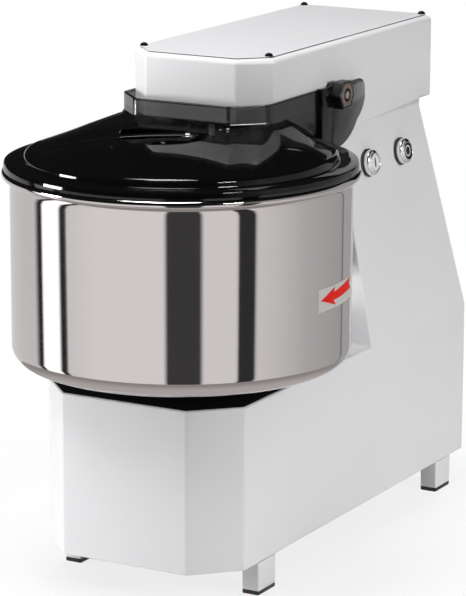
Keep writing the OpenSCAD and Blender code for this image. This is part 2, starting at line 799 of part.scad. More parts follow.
module drive_motor() color("steelblue")
  translate([0, motor_y, reducer_top_z]) {
    cylinder(d = motor_d, h = 10);
    translate([0, 0, 9]) cylinder(d = motor_d - 14, h = motor_l - 9);
    for (k = [0:23]) rotate(k * 15 + 7.5)
      translate([motor_d / 2 - 9, -1.5, 9]) cube([9, 3, motor_l - 19]);
    translate([0, 0, motor_l - 11]) cylinder(d = motor_d, h = 11);
    translate([-22, -motor_d / 2 - 3, 40]) cube([44, 20, 50]);
  }

module motor_fan_cover() color(black_plastic)
  translate([0, motor_y, reducer_top_z + motor_l])
    difference() {
      cylinder(d = motor_d, h = fan_cover_h);
      translate([0, 0, -1]) cylinder(d = motor_d - 4, h = fan_cover_h - 1);
      for (k = [0:11]) rotate(k * 30) translate([14, -2.5, 0]) cube([motor_d / 2 - 22, 5, fan_cover_h + 1]);
    }

module control_box() color("gainsboro")
  translate([-control_w / 2, leg_rear_y - 0.75 * control_l, leg_h + sheet + cover_t])
    difference() {
      cube([control_w, control_l, control_h]);
      translate([sheet, sheet, sheet])
        cube([control_w - 2 * sheet, control_l - 2 * sheet, control_h - 2 * sheet]);
      for (x = [0.25, 0.75]) translate([x * control_w, -1, 0.7 * control_h])
        rotate([-90, 0, 0]) cylinder(d = gland_d, h = 10);
    }

// SPIRAL AND BREAKER BAR

spiral_top_z = spiral_hub_z - spiral_hub_h;
spiral_low_z = bowl_floor_z + tool_gap + spiral_bar_d / 2;

function ease(t) = let(c = min(1, max(0, t))) c * c * (3 - 2 * c);
function spiral_at(u) =
  let(
    a = -90 + 360 * spiral_turns * u,
    r = spiral_r * ease(u / 0.24) * (1 - 0.7 * ease((u - 0.8) / 0.2))
  )
  [r * cos(a), r * sin(a), spiral_top_z - (spiral_top_z - spiral_low_z) * u];

// A round bar swept through points, with its rings turned to follow the axis of the winding
module swept_bar(points, d, sides) {
  n = len(points);
  rings = [for (i = [0:n - 1])
    let(
      t = unit(points[min(n - 1, i + 1)] - points[max(0, i - 1)]),
      a = -90 + 360 * spiral_turns * i / (n - 1), e = [cos(a), sin(a), 0],
      u = unit(e - (e * t) * t), v = cross(t, u)
    )
    for (k = [0:sides - 1]) points[i] + d / 2 * (cos(k * 360 / sides) * u + sin(k * 360 / sides) * v)];
  walls = [for (i = [0:n - 2], k = [0:sides - 1])
    let(a = i * sides + k, b = i * sides + (k + 1) % sides)
    each [[a, b + sides, b], [a, a + sides, b + sides]]];
  ends = [for (k = [1:sides - 2])
    each [[0, k, k + 1], [(n - 1) * sides, (n - 1) * sides + k + 1, (n - 1) * sides + k]]];
  polyhedron(rings, concat(walls, ends));
}

spiral_steps = 72;

module spiral_tool() color(steel)
  translate([0, spiral_y, 0]) {
    swept_bar([for (i = [0:spiral_steps]) spiral_at(i / spiral_steps)], spiral_bar_d, 12);
    difference() {
      translate([0, 0, spiral_top_z - spiral_hub_lap])
        cylinder(d = shaft_d + 2 * spiral_hub_wall, h = spiral_hub_h + spiral_hub_lap);
      translate([0, 0, spiral_top_z + socket_floor])
        cylinder(d = shaft_d - 2 * spiral_neck, h = spiral_hub_h);
    }
  }

module spiral_shaft() color(steel)
  translate([0, spiral_y, 0]) {
    translate([0, 0, spiral_top_z + socket_floor]) cylinder(d = shaft_d - 2 * spiral_neck, h = spiral_hub_h);
    translate([0, 0, spiral_hub_z]) cylinder(d = shaft_d, h = shaft_head_z - spiral_hub_z);
  }

spiral_housing_top = head_floor_z + floor_t + spiral_housing_rise;
spiral_bearing_at = [head_floor_z - spiral_nose + 1, spiral_housing_top - bearing_w - 1];

module spiral_bearing_housing() color("slategray")
  translate([0, spiral_y, 0])
    difference() {
      union() {
        translate([0, 0, head_floor_z - spiral_nose])
          cylinder(d = spiral_housing_d, h = spiral_housing_top - head_floor_z + spiral_nose);
        translate([0, 0, head_floor_z + floor_t])
          cylinder(d = spiral_housing_d + 2 * spiral_flange_w, h = spiral_flange_t);
      }
      translate([0, 0, head_floor_z - spiral_nose - 1])
        cylinder(d = shaft_d + 2 * housing_room, h = spiral_housing_top - head_floor_z + spiral_nose + 2);
      for (z = [spiral_bearing_at[0] - bearing_w, spiral_bearing_at[1]]) translate([0, 0, z])
        cylinder(d = shaft_d + 2 * bearing_ring, h = 2 * bearing_w);
    }

module spiral_bearings() color("gainsboro")
  for (z = spiral_bearing_at) translate([0, spiral_y, z]) bearing(shaft_d, bearing_w);

module breaker_bar() color(steel)
  translate([0, bar_y, 0]) {
    low = bowl_floor_z + tool_gap + bar_d / 2;
    translate([0, 0, low]) sphere(d = bar_d);
    translate([0, 0, low]) cylinder(d = bar_d, h = head_floor_z - low);
    translate([0, 0, head_floor_z - 1]) cylinder(d = stud_d, h = floor_t + 17);
  }

module breaker_bar_nut() color(steel)
  translate([0, bar_y, head_floor_z + floor_t])
    difference() {
      hex(stud_af, 10);
      translate([0, 0, -1]) cylinder(d = stud_d, h = 20);
    }

// LID AND HINGE

module collar_plan(inset, rear)
  polygon(cut_box(collar_in_w + lid_wall, collar_in_y - lid_wall, rear, collar_chamfer, inset, bend_r));

// Half section of the lid: lip, flange, step, sloping dome and flat top
module lid_section() {
  polygon(rounded(
    [
      [0, plateau_z - lid_wall], [plateau_r - 1, plateau_z - lid_wall],
      [dome_r - lid_wall, dome_z - lid_wall], [dome_r - lid_wall, flange_z - lid_wall],
      [lid_r - lid_wall, flange_z - lid_wall], [lid_r - lid_wall, lip_z], [lid_r, lip_z], [lid_r, flange_z],
      [dome_r, flange_z], [dome_r, dome_z], [plateau_r, plateau_z], [0, plateau_z]
    ],
    [0, 0, 1.5, edge_r, 0, 0, 0, 2, 1.5, edge_r, edge_r, 0]
  ));
}

// Half section of the room under the dome
module under_dome()
  polygon([
    [0, lip_z], [dome_r - lid_wall, lip_z], [dome_r - lid_wall, dome_z - lid_wall],
    [plateau_r - 1, plateau_z - lid_wall], [0, plateau_z - lid_wall]
  ]);

module ear_side()
  intersection() {
    translate([ear_front_y, lip_z + 1]) square([lid_r, ear_top_z - lip_z - 1]);
    union() {
      translate([hinge_y, hinge_z]) circle(ear_r);
      translate([ear_front_y, lip_z + 1]) square([hinge_y - ear_front_y, lid_r]);
    }
  }

module lid() color(smoked)
  difference() {
    union() {
      difference() {
        union() {
          rotate_extrude($fn = 128) lid_section();
          difference() {
            translate([0, 0, flange_z]) linear_extrude(collar_z - flange_z)
              collar_plan(0, ear_front_y + lid_wall);
            rotate_extrude($fn = 128) under_dome();
          }
        }
        translate([0, 0, lip_z - lip_h]) linear_extrude(collar_z - lip_z + 2 * lip_h)
          collar_plan(lid_wall, rim_r);
      }
      both_sides() {
        translate([ear_in_x, 0, 0]) rotate([90, 0, 90]) linear_extrude(lid_wall) ear_side();
        translate([collar_in_w, ear_front_y, flange_z])
          cube([ear_out_x - collar_in_w, lid_wall, ear_top_z - flange_z]);
      }
    }
    // Half-round opening for adding ingredients, in front of the collar
    translate([0, moon_y, plateau_z - dome_rise]) linear_extrude(2 * dome_rise)
      intersection() {
        circle(feed_r);
        translate([-feed_r, -feed_r]) square([2 * feed_r, feed_r]);
      }
    both_sides() on_hinge() translate([0, 0, ear_in_x - 1]) cylinder(d = pin_d, h = lid_wall + 2);
  }

module on_hinge() translate([0, hinge_y, hinge_z]) rotate([0, 90, 0]) children();

pin_in = 26;
pin_in_x = head_half - pin_in;
knob_recess = 4;
pin_end_x = ear_out_x + knob_t - knob_recess;

module hinge_pin() color(steel)
  on_hinge() translate([0, 0, pin_in_x]) cylinder(d = pin_d, h = pin_end_x - pin_in_x);

module lid_knob() color(black_plastic)
  on_hinge() translate([0, 0, ear_out_x])
    difference() {
      rotate(30) hex(knob_af, knob_t);
      translate([0, 0, -1]) cylinder(d = pin_d, h = knob_t - knob_recess + 1);
      translate([0, 0, knob_t - knob_recess]) cylinder(d = pin_d + 1, h = knob_t);
    }

module hinge_bush() color("ivory")
  on_hinge()
    difference() {
      union() {
        translate([0, 0, head_half]) cylinder(d = bush_d + 6, h = bush_flange_t);
        translate([0, 0, head_half - sheet - 6]) cylinder(d = bush_d, h = sheet + 7);
      }
      translate([0, 0, head_half - 30]) cylinder(d = pin_d + 2 * run_gap, h = 60);
    }

module right_hinge_pin() hinge_pin();
module left_hinge_pin() mirror([1, 0, 0]) hinge_pin();
module right_lid_knob() lid_knob();
module left_lid_knob() mirror([1, 0, 0]) lid_knob();
module right_hinge_bush() hinge_bush();
module left_hinge_bush() mirror([1, 0, 0]) hinge_bush();

// LID SWITCH

cam_r = pin_d / 2 + 4;
cam_x = pin_in_x + 2;
cam_w = 9;
cam_gap = 0.3;

// Radius of the cam where it meets the plunger when the lid is open by an angle
function cam_radius(angle) = cam_r - plunger_stroke * min(1, max(0, angle / lid_angle));

// The cam falls away evenly, so the plunger comes out in step with the lid
module switch_cam() color("ivory")
  translate([cam_x, hinge_y, hinge_z]) rotate([90, 0, 90]) linear_extrude(cam_w)
    difference() {
      polygon([
        for (a = [-10:5:lid_angle + 10]) cam_radius(a) * [cos(a), sin(a)],
        for (a = [lid_angle + 30:15:335]) (pin_d / 2 + 2) * [cos(a), sin(a)]
      ]);
      circle(d = pin_d);
    }

switch_y = hinge_y + cam_r + cam_gap + 4;

// Local +Z points into the switch from the plunger's tip
module at_plunger()
  translate([cam_x + cam_w / 2, hinge_y + cam_r + cam_gap, hinge_z]) rotate([-90, 0, 0]) children();

module lid_switch() color(black_plastic)
  difference() {
    translate([cam_x - 2, switch_y, hinge_z - 10]) cube([head_half - sheet - cam_x + 2, 18, 20]);
    at_plunger() translate([0, 0, 3]) cylinder(d = plunger_d + 2 * run_gap, h = plunger_l);
  }

module switch_plunger() color("red")
  at_plunger() cylinder(d = plunger_d, h = plunger_l);

// BUTTONS

module button_spot(k) on_panel(button_y + k * button_pitch, button_z) children();

module gasket() color(black_plastic)
  difference() {
    cylinder(d = bezel_d + 0.6, h = gasket_t);
    translate([0, 0, -1]) cylinder(d = button_hole_d + 2 * fit_gap, h = gasket_t + 2);
  }

module bezel() color(steel)
  difference() {
    union() {
      translate([0, 0, gasket_t]) rotate_extrude()
        polygon(rounded(
          [[0, 0], [bezel_d / 2, 0], [bezel_d / 2 - 1.5, bezel_h], [0, bezel_h]],
          [0, 0, 2.5, 0]
        ));
      translate([0, 0, -button_tail]) cylinder(d = button_hole_d, h = button_tail + gasket_t + 1);
    }
    translate([0, 0, -button_tail - 1]) cylinder(d = cap_d + 2 * run_gap, h = button_tail + bezel_h + 10);
  }

module push_cap(tone)
  color(tone) translate([0, 0, -button_tail + button_travel + 1])
    cylinder(d = cap_d, h = button_tail - button_travel - 1 + gasket_t + bezel_h + 0.5);

module switch_body() color("darkslategray")
  translate([0, 0, -button_tail - 20]) linear_extrude(20)
    polygon([[-15, -14], [15, -14], [15, 14], [-15, 14]]);

module button_gaskets() for (k = [0, 1]) button_spot(k) gasket();
module start_bezel() button_spot(0) bezel();
module stop_bezel() button_spot(1) bezel();
module start_button() button_spot(0) push_cap("white");
module stop_button() button_spot(1) push_cap(black_plastic);
module start_switch_body() button_spot(0) switch_body();
module stop_switch_body() button_spot(1) switch_body();

place() base_shell();
place() bottom_plate();
place() bottom_plate_screws();
place() leg_front_left();
place() leg_front_right();
place() leg_rear_left();
place() leg_rear_right();
place() foot_caps();
place() column_shell();
place() head_shell();
place() head_cover();
place() head_cover_screws();
place() rear_cover();
place() rear_cover_screws();
place() cable_gland();
place() bowl();
place() bowl_hub();
place() bowl_screws();
place() bowl_shaft();
place() bowl_pulley();
place() bowl_bearing_housing();
place() bowl_bearings();
place() bowl_belt();
place() drive_shaft();
place() lower_drive_pulley();
place() upper_drive_pulley();
place() shaft_bracket();
place() drive_bearing();
place() gear_reducer();
place() reducer_bolts();
place() drive_motor();
place() motor_fan_cover();
place() control_box();
place() spiral_tool();
place() spiral_shaft();
place() spiral_pulley();
place() spiral_bearing_housing();
place() spiral_bearings();
place() spiral_belt();
place() breaker_bar();
place() breaker_bar_nut();
place() lid();
place() left_lid_knob();
place() right_lid_knob();
place() left_hinge_pin();
place() right_hinge_pin();
place() left_hinge_bush();
place() right_hinge_bush();
place() switch_cam();
place() lid_switch();
place() switch_plunger();
place() start_bezel();
place() stop_bezel();
place() button_gaskets();
place() start_button();
place() stop_button();
place() start_switch_body();
place() stop_switch_body();
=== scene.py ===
"""Looks of a spiral dough mixer: painted body, steel bowl, smoked cover, buttons and studio."""
import json
import math

import bmesh
import bpy
from bpy.props import FloatProperty, FloatVectorProperty, IntProperty, PointerProperty
from mathutils import Matrix, Vector


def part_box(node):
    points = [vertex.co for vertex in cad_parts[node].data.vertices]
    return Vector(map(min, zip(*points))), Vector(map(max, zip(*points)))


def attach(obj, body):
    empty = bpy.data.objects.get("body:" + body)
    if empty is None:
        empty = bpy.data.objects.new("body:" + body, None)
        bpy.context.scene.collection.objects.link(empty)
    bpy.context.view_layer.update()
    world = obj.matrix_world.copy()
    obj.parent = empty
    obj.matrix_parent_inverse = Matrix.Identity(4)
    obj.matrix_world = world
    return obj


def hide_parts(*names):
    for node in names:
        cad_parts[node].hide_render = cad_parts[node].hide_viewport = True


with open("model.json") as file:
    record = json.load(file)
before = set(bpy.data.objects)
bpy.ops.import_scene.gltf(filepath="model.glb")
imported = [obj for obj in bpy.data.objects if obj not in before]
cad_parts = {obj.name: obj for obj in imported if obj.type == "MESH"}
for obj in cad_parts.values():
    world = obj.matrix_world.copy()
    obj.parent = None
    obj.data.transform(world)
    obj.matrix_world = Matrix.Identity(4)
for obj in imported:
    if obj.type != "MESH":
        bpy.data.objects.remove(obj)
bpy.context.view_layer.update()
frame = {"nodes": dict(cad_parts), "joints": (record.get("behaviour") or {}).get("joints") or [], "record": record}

bl_info = {
    "name": "Spiral dough mixer",
    "version": (1, 0, 0),
    "blender": (4, 5, 0),
    "location": "View3D > Sidebar > Mixer",
    "description": "Builds the visible pieces of a spiral dough mixer round its packed frame",
    "category": "Object",
}

MM = 0.001


def joint_place(name):
    return Vector(next(j for j in frame["joints"] if j["name"] == name)["pos_m"])


# Places from the frame: the bowl's axis, the outer faces of base and head, the cover's top and the hinge
BOWL_LOW, BOWL_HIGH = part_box("bowl")
AXIS_Y = (BOWL_LOW.y + BOWL_HIGH.y) / 2
BASE_LOW, BASE_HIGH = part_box("base_shell")
HEAD_LOW, HEAD_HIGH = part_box("head_shell")
LID_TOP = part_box("lid")[1].z
HINGE = joint_place("lid_hinge")
# The cover's round edge, just inside the bowl's rim
LID_EDGE = BOWL_HIGH.x - 2.4 * MM
# The collar's middle behind the bowl's axis, from which the cover's skin is laid out
LID_CENTRE = 60 * MM
# Thickness of the seals under the bezels, and the CAD bezels' diameter
GASKET = 1 * MM
CAD_BEZEL = 28 * MM
# Turn of a round piece that lies across the machine
ACROSS = (0, math.pi / 2, 0)


def linear(hex_colour):
    """Linear RGB of an sRGB hex colour such as #C8C4C1."""
    parts = [int(hex_colour[i:i + 2], 16) / 255 for i in (1, 3, 5)]
    return tuple(c / 12.92 if c <= 0.04045 else ((c + 0.055) / 1.055) ** 2.4 for c in parts)


def length(name, description, millimetres):
    return FloatProperty(name=name, description=description, default=millimetres * MM, unit="LENGTH")


def colour(name, description, hex_colour):
    return FloatVectorProperty(
        name=name, description=description, default=linear(hex_colour), subtype="COLOR", min=0, max=1)


class BodySizes(bpy.types.PropertyGroup):
    """Sheet metal of base, column and head"""
    base_chamfer: length("Base corner", "Width of the base's cut front corners", 45)
    head_chamfer: length("Head corner", "Width of the head's cut front corners", 30)
    column_foot: length("Column foot", "Front of the column at its foot, behind the bowl's axis", 215)
    column_neck: length("Column neck", "Front of the column under the head, behind the bowl's axis", 197)
    column_back: length("Column back", "Back of the column under the head, behind the bowl's axis", 398)
    head_step: length("Head step", "How much higher the head's front floor lies than its back part", 24)
    sheet: length("Sheet", "Thickness of the painted sheet", 2)
    flange: length("Flange", "Width of the flanges that the covers rest on", 16)
    bend: length("Bend", "Width of the folded edges of base and column", 2.2)
    head_bend: length("Head bend", "Width of the rolled upper edge of the head", 6)
    seam: length("Seam", "Height of the dressed weld under the head's sides", 7)
    seam_depth: length("Seam depth", "How far the dressed weld lies behind the sides", 2.2)


class BowlSizes(bpy.types.PropertyGroup):
    """Steel bowl and its direction label"""
    wall: length("Wall", "Sheet thickness of the bowl", 1.2)
    corner: length("Corner", "Outside radius between wall and floor", 20)
    rim: length("Rim", "Thickness of the rolled rim", 9)
    rim_out: length("Rim reach", "How far the rim stands out from the wall", 8.5)
    steps: IntProperty(name="Steps", description="Faces round the bowl", default=192, min=48)
    label_low: length("Label foot", "Height of the label's lower edge", 310)
    label_high: length("Label head", "Height of the label's upper edge", 334)


class LidSizes(bpy.types.PropertyGroup):
    """Thermoformed cover"""
    wall: length("Wall", "Thickness of the smoked sheet", 2.5)
    lip_low: length("Lip", "Height of the lip's lower edge, just above the bowl's rim", 441.7)
    flange_top: length("Flange", "Height of the flat flange above the floor", 450)
    step_radius: length("Step radius", "Radius of the wall that steps up from the flange", 166)
    shoulder: length("Shoulder", "Radius of the round shoulder above the step", 7)
    crown: length("Crown", "Height of the skin where it meets the collar", 485.5)
    collar_top: length("Collar top", "Height of the collar's upper edge", 510)
    collar_half: length("Collar half width", "Half of the collar's outside width", 89.5)
    collar_front: length("Collar front", "Collar's front face, in front of the bowl's axis", 2.5)
    collar_chamfer: length("Collar corner", "Width of the collar's cut corners", 33)
    collar_ease: length("Collar ease", "How softly the collar's corners are rounded", 1.3)
    fillet: length("Fillet", "Radius between the dome and the collar", 8)
    ear_radius: length("Ear radius", "Radius of the ears' lower edge about the hinge", 59)
    ear_reach: length("Ear reach", "How far the ears reach behind the hinge", 66)
    ear_front: length("Ear front", "How far the ears reach in front of the hinge", 35)
    ear_corner: length("Ear corner", "Radius of the ears' upper rear corner", 14)
    feed_radius: length("Feed opening", "Radius of the half-round feed opening", 54)
    feed_edge: length("Feed edge", "Straight edge of the feed opening, in front of the bowl's axis", 23)


class DetailSizes(bpy.types.PropertyGroup):
    """Knobs, buttons and tools"""
    knob_flats: length("Knob", "Width across the flats of the hinge knobs", 30)
    bezel_radius: length("Bezel radius", "Outside radius of the button bezels", 14.6)
    bezel_height: length("Bezel height", "Height of the bezels in front of their gaskets", 8.5)
    cap_radius: length("Button radius", "Radius of the moving buttons", 9.5)
    spiral_radius: length("Spiral radius", "Radius of the spiral to the middle of its bar", 49)
    spiral_bar: length("Spiral bar", "Diameter of the spiral's bar", 18)
    spiral_turns: FloatProperty(name="Turns", description="Turns of the spiral", default=1.75)


class Finishes(bpy.types.PropertyGroup):
    """Colours of the finishes"""
    paint: colour("Paint", "White powder coat", "#ECECEE")
    steel: colour("Steel", "Polished stainless steel", "#CEC8C8")
    smoke: colour("Smoke", "Tint of the smoked cover", "#0B0B0C")
    black: colour("Black", "Black moulded plastic", "#161617")
    knob: colour("Knob", "Worn face of the hinge knobs", "#8A7A70")
    label: colour("Label", "Pale film of the direction label", "#C9C5C1")
    arrow: colour("Arrow", "Red of the direction arrow", "#E0261C")
    floor: colour("Floor", "Studio floor", "#F4F4F4")


class StudioSettings(bpy.types.PropertyGroup):
    """Camera and light"""
    camera: FloatVectorProperty(
        name="Camera", description="Place of the camera", default=(1.58394, -2.87722, 1.04410),
        subtype="TRANSLATION")
    target: FloatVectorProperty(
        name="Target", description="Point that the camera looks at",
        default=(-0.01303, -0.09182, 0.29090), subtype="TRANSLATION")
    lens: FloatProperty(name="Lens", description="Focal length in millimetres", default=184.52)
    shift_x: FloatProperty(name="Shift X", description="Sideways shift of the frame", default=0.065)
    shift_y: FloatProperty(name="Shift Y", description="Upward shift of the frame", default=-0.0053)
    ambient: FloatProperty(name="Ambient", description="Light from all round", default=0.06)
    cards: FloatProperty(name="Cards", description="Radius of the reflecting cards and the mat", default=0.62)


# SMALL HELPERS FOR MODELLING


def clear_selection():
    if bpy.context.object and bpy.context.object.mode != "OBJECT":
        bpy.ops.object.mode_set(mode="OBJECT")
    bpy.ops.object.select_all(action="DESELECT")


def only(piece):
    """Selects one piece and makes it active, in object mode."""
    clear_selection()
    piece.select_set(True)
    bpy.context.view_layer.objects.active = piece


def primitive(add, **settings):
    """Adds one primitive with everything else deselected, and opens it in edit mode."""
    clear_selection()
    add(**settings)
    piece = bpy.context.object
    bpy.ops.object.transform_apply(location=True, rotation=True, scale=True)
    bpy.ops.object.mode_set(mode="EDIT")
    bpy.ops.mesh.select_mode(type="VERT")
    select_all()
    return piece


def block(low, high):
    """A box between two corners, open in edit mode."""
    low, high = Vector(low), Vector(high)
    return primitive(
        bpy.ops.mesh.primitive_cube_add, size=1, location=(low + high) / 2, scale=high - low)


def rod(radius, depth, place, turn=(0, 0, 0), sides=48):
    """A cylinder or prism about a place, open in edit mode."""
    return primitive(bpy.ops.mesh.primitive_cylinder_add, vertices=sides, radius=radius, depth=depth,
                     location=place, rotation=turn)


def polygon(corners):
    """A flat face with the given corners, open in edit mode."""
    piece = primitive(
        bpy.ops.mesh.primitive_circle_add, vertices=len(corners), radius=1, fill_type="NGON")
    places = iter(corners)
    reshape(piece, lambda at: next(places))
    return piece


def reshape(piece, move):
    """Puts each vertex of the open piece where move says."""
    for v in bmesh.from_edit_mesh(piece.data).verts:
        v.co = move(v.co)
    bmesh.update_edit_mesh(piece.data)


def pick(piece, kind, test):
    """Selects the faces, edges or vertices of the piece in edit mode that pass a test."""
    mode = {"faces": "FACE", "edges": "EDGE", "verts": "VERT"}[kind]
    bpy.ops.mesh.select_all(action="DESELECT")
    bpy.ops.mesh.select_mode(type=mode)
    shape = bmesh.from_edit_mesh(piece.data)
    chosen = [part for part in getattr(shape, kind) if test(part)]
    if not chosen:
        raise RuntimeError(f"{piece.name}: no {kind} to work on")
    for part in chosen:
        part.select_set(True)
    shape.select_flush_mode()
    bmesh.update_edit_mesh(piece.data)


def middle(part):
    """Mean place of the corners of an edge or a face."""
    return sum((v.co for v in part.verts), Vector()) / len(part.verts)


def along(edge, axis, least=0.99):
    """Whether an edge runs along the axis with the given number."""
    run = (edge.verts[1].co - edge.verts[0].co).normalized()
    return abs(run[axis]) > least


def upright(edge):
    return along(edge, 2)


def sharp(edge, degrees):
    """Whether two faces meet at the edge with more than an angle."""
    return len(edge.link_faces) == 2 and edge.calc_face_angle() > math.radians(degrees)


def facing(face, axis, least=0.9):
    """1 or -1 where a face looks along an axis or against it, and 0 elsewhere."""
    part = face.normal[axis]
    return math.copysign(1, part) if abs(part) > least else 0


def near(a, b, tolerance=0.2 * MM):
    return abs(a - b) < tolerance


def select_all():
    bpy.ops.mesh.select_all(action="SELECT")


def face_outward():
    select_all()
    bpy.ops.mesh.normals_make_consistent(inside=False)


def bevel(offset, segments=3):
    bpy.ops.mesh.bevel(offset=offset, segments=segments, affect="EDGES")


def extrude(x, y, z):
    bpy.ops.mesh.extrude_region_move(TRANSFORM_OT_translate={"value": (x, y, z)})


def halve(place, normal, **settings):
    """Cuts the open piece along a plane."""
    select_all()
    bpy.ops.mesh.bisect(plane_co=place, plane_no=normal, **settings)


def modifier(piece, kind, **settings):
    """Adds a modifier with its settings and applies it."""
    only(piece)
    added = piece.modifiers.new(kind.title(), kind)
    for name, value in settings.items():
        setattr(added, name, value)
    bpy.ops.object.modifier_apply(modifier=added.name)


def cut(piece, cutter, solver="EXACT"):
    """Takes the cutter's shape out of the piece and deletes the cutter."""
    modifier(piece, "BOOLEAN", operation="DIFFERENCE", object=cutter, solver=solver)
    bpy.data.objects.remove(cutter)


def put(piece, place, turn):
    """Turns and places a piece that was made at the origin."""
    only(piece)
    piece.rotation_euler = turn
    piece.location = place
    bpy.ops.object.transform_apply(location=True, rotation=True, scale=True)


def lathe(points, steps, place=(0, 0, 0), turn=(0, 0, 0), unit=1):
    """Spins a profile of (radius, height) points round Z, then turns and places it."""
    points = [(radius * unit, height * unit) for radius, height in points]
    piece = primitive(bpy.ops.mesh.primitive_plane_add, size=MM)
    bpy.ops.mesh.merge(type="CENTER")
    bpy.ops.transform.translate(value=(points[0][0], 0, points[0][1]))
    for a, b in zip(points, points[1:]):
        bpy.ops.mesh.extrude_vertices_move(
            TRANSFORM_OT_translate={"value": (b[0] - a[0], 0, b[1] - a[1])})
    select_all()
    bpy.ops.mesh.spin(steps=steps, angle=math.tau, center=(0, 0, 0), axis=(0, 0, 1))
    select_all()
    bpy.ops.mesh.remove_doubles(threshold=0.005 * MM)
    face_outward()
    put(piece, place, turn)
    return piece


def arc(centre, radius, start, end, steps):
    """Points of an arc in (radius, height), angles in degrees."""
    angles = [math.radians(start + (end - start) * k / steps) for k in range(steps + 1)]
    return [(centre[0] + radius * math.cos(a), centre[1] + radius * math.sin(a)) for a in angles]


def join(pieces):
    clear_selection()
    for piece in pieces:
        piece.select_set(True)
    bpy.context.view_layer.objects.active = pieces[0]
    bpy.ops.object.join()
    return pieces[0]


def copy_of(piece):
    twin = piece.copy()
    twin.data = piece.data.copy()
    bpy.context.scene.collection.objects.link(twin)
    return twin


def mirrored(piece):
    """A copy on the other side of the machine, with its own mesh turned right side out."""
    twin = copy_of(piece)
    twin.data.transform(Matrix.Scale(-1, 4, (1, 0, 0)))
    twin.data.flip_normals()
    return twin


def done(piece, name, body, slot, *nodes, finish=None, smooth=30):
    """Names a finished piece, shades it, gives it its finish (by default the one named by the slot), parents it to
    its body and hides the CAD nodes it stands for.
    """
    only(piece)
    piece.name = piece.data.name = name
    bpy.ops.object.shade_smooth_by_angle(angle=math.radians(smooth))
    piece.data.materials.clear()
    piece.data.materials.append(FINISH[finish or slot])
    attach(piece, body)
    if nodes:
        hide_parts(*nodes)


# FINISHES


def add_node(tree, kind, inputs=None, **settings):
    """Adds a node to a tree with its settings, and with sockets or constants for its inputs."""
    made = tree.nodes.new(kind)
    for name, value in settings.items():
        setattr(made, name, value)
    for name, value in (inputs or {}).items():
        if isinstance(value, bpy.types.NodeSocket):
            tree.links.new(value, made.inputs[name])
        else:
            made.inputs[name].default_value = value
    return made


def calc(tree, operation, *values):
    return add_node(tree, "ShaderNodeMath", dict(enumerate(values)), operation=operation).outputs["Value"]


def remap(tree, value, low, high, start=0.0, end=1.0, **settings):
    """Brings a value from between start and end to between low and high."""
    return add_node(tree, "ShaderNodeMapRange", {
        "Value": value, "From Min": start, "From Max": end, "To Min": low, "To Max": high},
        **settings).outputs["Result"]


def object_place(tree):
    return add_node(tree, "ShaderNodeTexCoord").outputs["Object"]


def coordinates(tree, vector):
    return add_node(tree, "ShaderNodeSeparateXYZ", {"Vector": vector}).outputs


def noise(tree, grain, detail=3.0, roughness=0.5, stretch=None):
    """Noise on the object with spots of about one size, in millimetres, drawn out where stretch says."""
    place = object_place(tree)
    if stretch:
        mapping = add_node(tree, "ShaderNodeMapping", {"Vector": place, "Scale": stretch})
        place = mapping.outputs["Vector"]
    return add_node(tree, "ShaderNodeTexNoise", {
        "Vector": place, "Scale": 1 / (grain * MM), "Detail": detail,
        "Roughness": roughness}).outputs["Fac"]


def blend(tree, share, first, last, start=0.0, end=1.0):
    """A colour that goes from first to last as the share goes from start to end."""
    ramp = add_node(tree, "ShaderNodeValToRGB", {"Fac": share})
    for stop, position, shade in zip(ramp.color_ramp.elements, (start, end), (first, last)):
        stop.position = position
        stop.color = rgba(shade)
    return ramp.outputs["Color"]


def relief(tree, height, strength, depth):
    """Bump from a height between 0 and 1, with its depth in millimetres."""
    return add_node(tree, "ShaderNodeBump", {
        "Height": height, "Strength": strength, "Distance": depth * MM}).outputs["Normal"]


def new_finish(name):
    finish = bpy.data.materials.get(name) or bpy.data.materials.new(name)
    finish.use_nodes = True
    finish.node_tree.nodes.clear()
    return finish, finish.node_tree


def surface(tree, kind, output, inputs):
    """Ends a material with a shader of one kind."""
    shader = add_node(tree, kind, inputs)
    add_node(tree, "ShaderNodeOutputMaterial", {"Surface": shader.outputs[output]})


def rgba(values):
    return (*values, 1)


def shaded(tree, **inputs):
    """Ends a material with a principled shader; underscores in the names stand for spaces."""
    surface(tree, "ShaderNodeBsdfPrincipled", "BSDF", {
        name.replace("_", " "): value for name, value in inputs.items()})


def powder_coat(name, paint):
    """Polyester powder coat, sprayed and baked: an even white with a faint orange peel and soft gloss."""
    finish, tree = new_finish(name)
    # Orange peel has waves of about 1 mm; 2.5 mm is the finest that still shows
    peel = noise(tree, 2.5, 2.0)
    # Uneven film thickness over a hand's breadth
    film = noise(tree, 110, 2.0)
    shaded(tree, Base_Color=blend(tree, film, [c * 0.965 for c in paint], paint),
           Roughness=remap(tree, peel, 0.34, 0.46), Normal=relief(tree, peel, 0.08, 0.15),
           IOR=1.5, Specular_IOR_Level=0.4)
    return finish


def metal(name, base, rough, line, depth, dark=0.82, stretch=(1, 1, 1)):
    """Bare steel with lines left by polishing, turning or grinding along one direction, in millimetres."""
    finish, tree = new_finish(name)
    lines = noise(tree, line, 3.0, 0.6, stretch)
    shaded(tree, Base_Color=blend(tree, lines, [c * dark for c in base], base, 0.25, 0.6),
           Roughness=remap(tree, lines, *rough, 0.3, 0.7), Normal=relief(tree, lines, 0.1, depth),
           Metallic=1.0)
    return finish


def moulded(name, base, rough, grain, depth, lift=1.25, specular=0.5):
    """Moulded or cast stock with a fine even grain, in millimetres."""
    finish, tree = new_finish(name)
    skin = noise(tree, grain)
    shaded(tree, Base_Color=blend(tree, skin, base, [min(1, c * lift) for c in base], 0.3, 0.75),
           Roughness=remap(tree, skin, *rough), Normal=relief(tree, skin, 0.2, depth),
           IOR=1.5, Specular_IOR_Level=specular)
    return finish


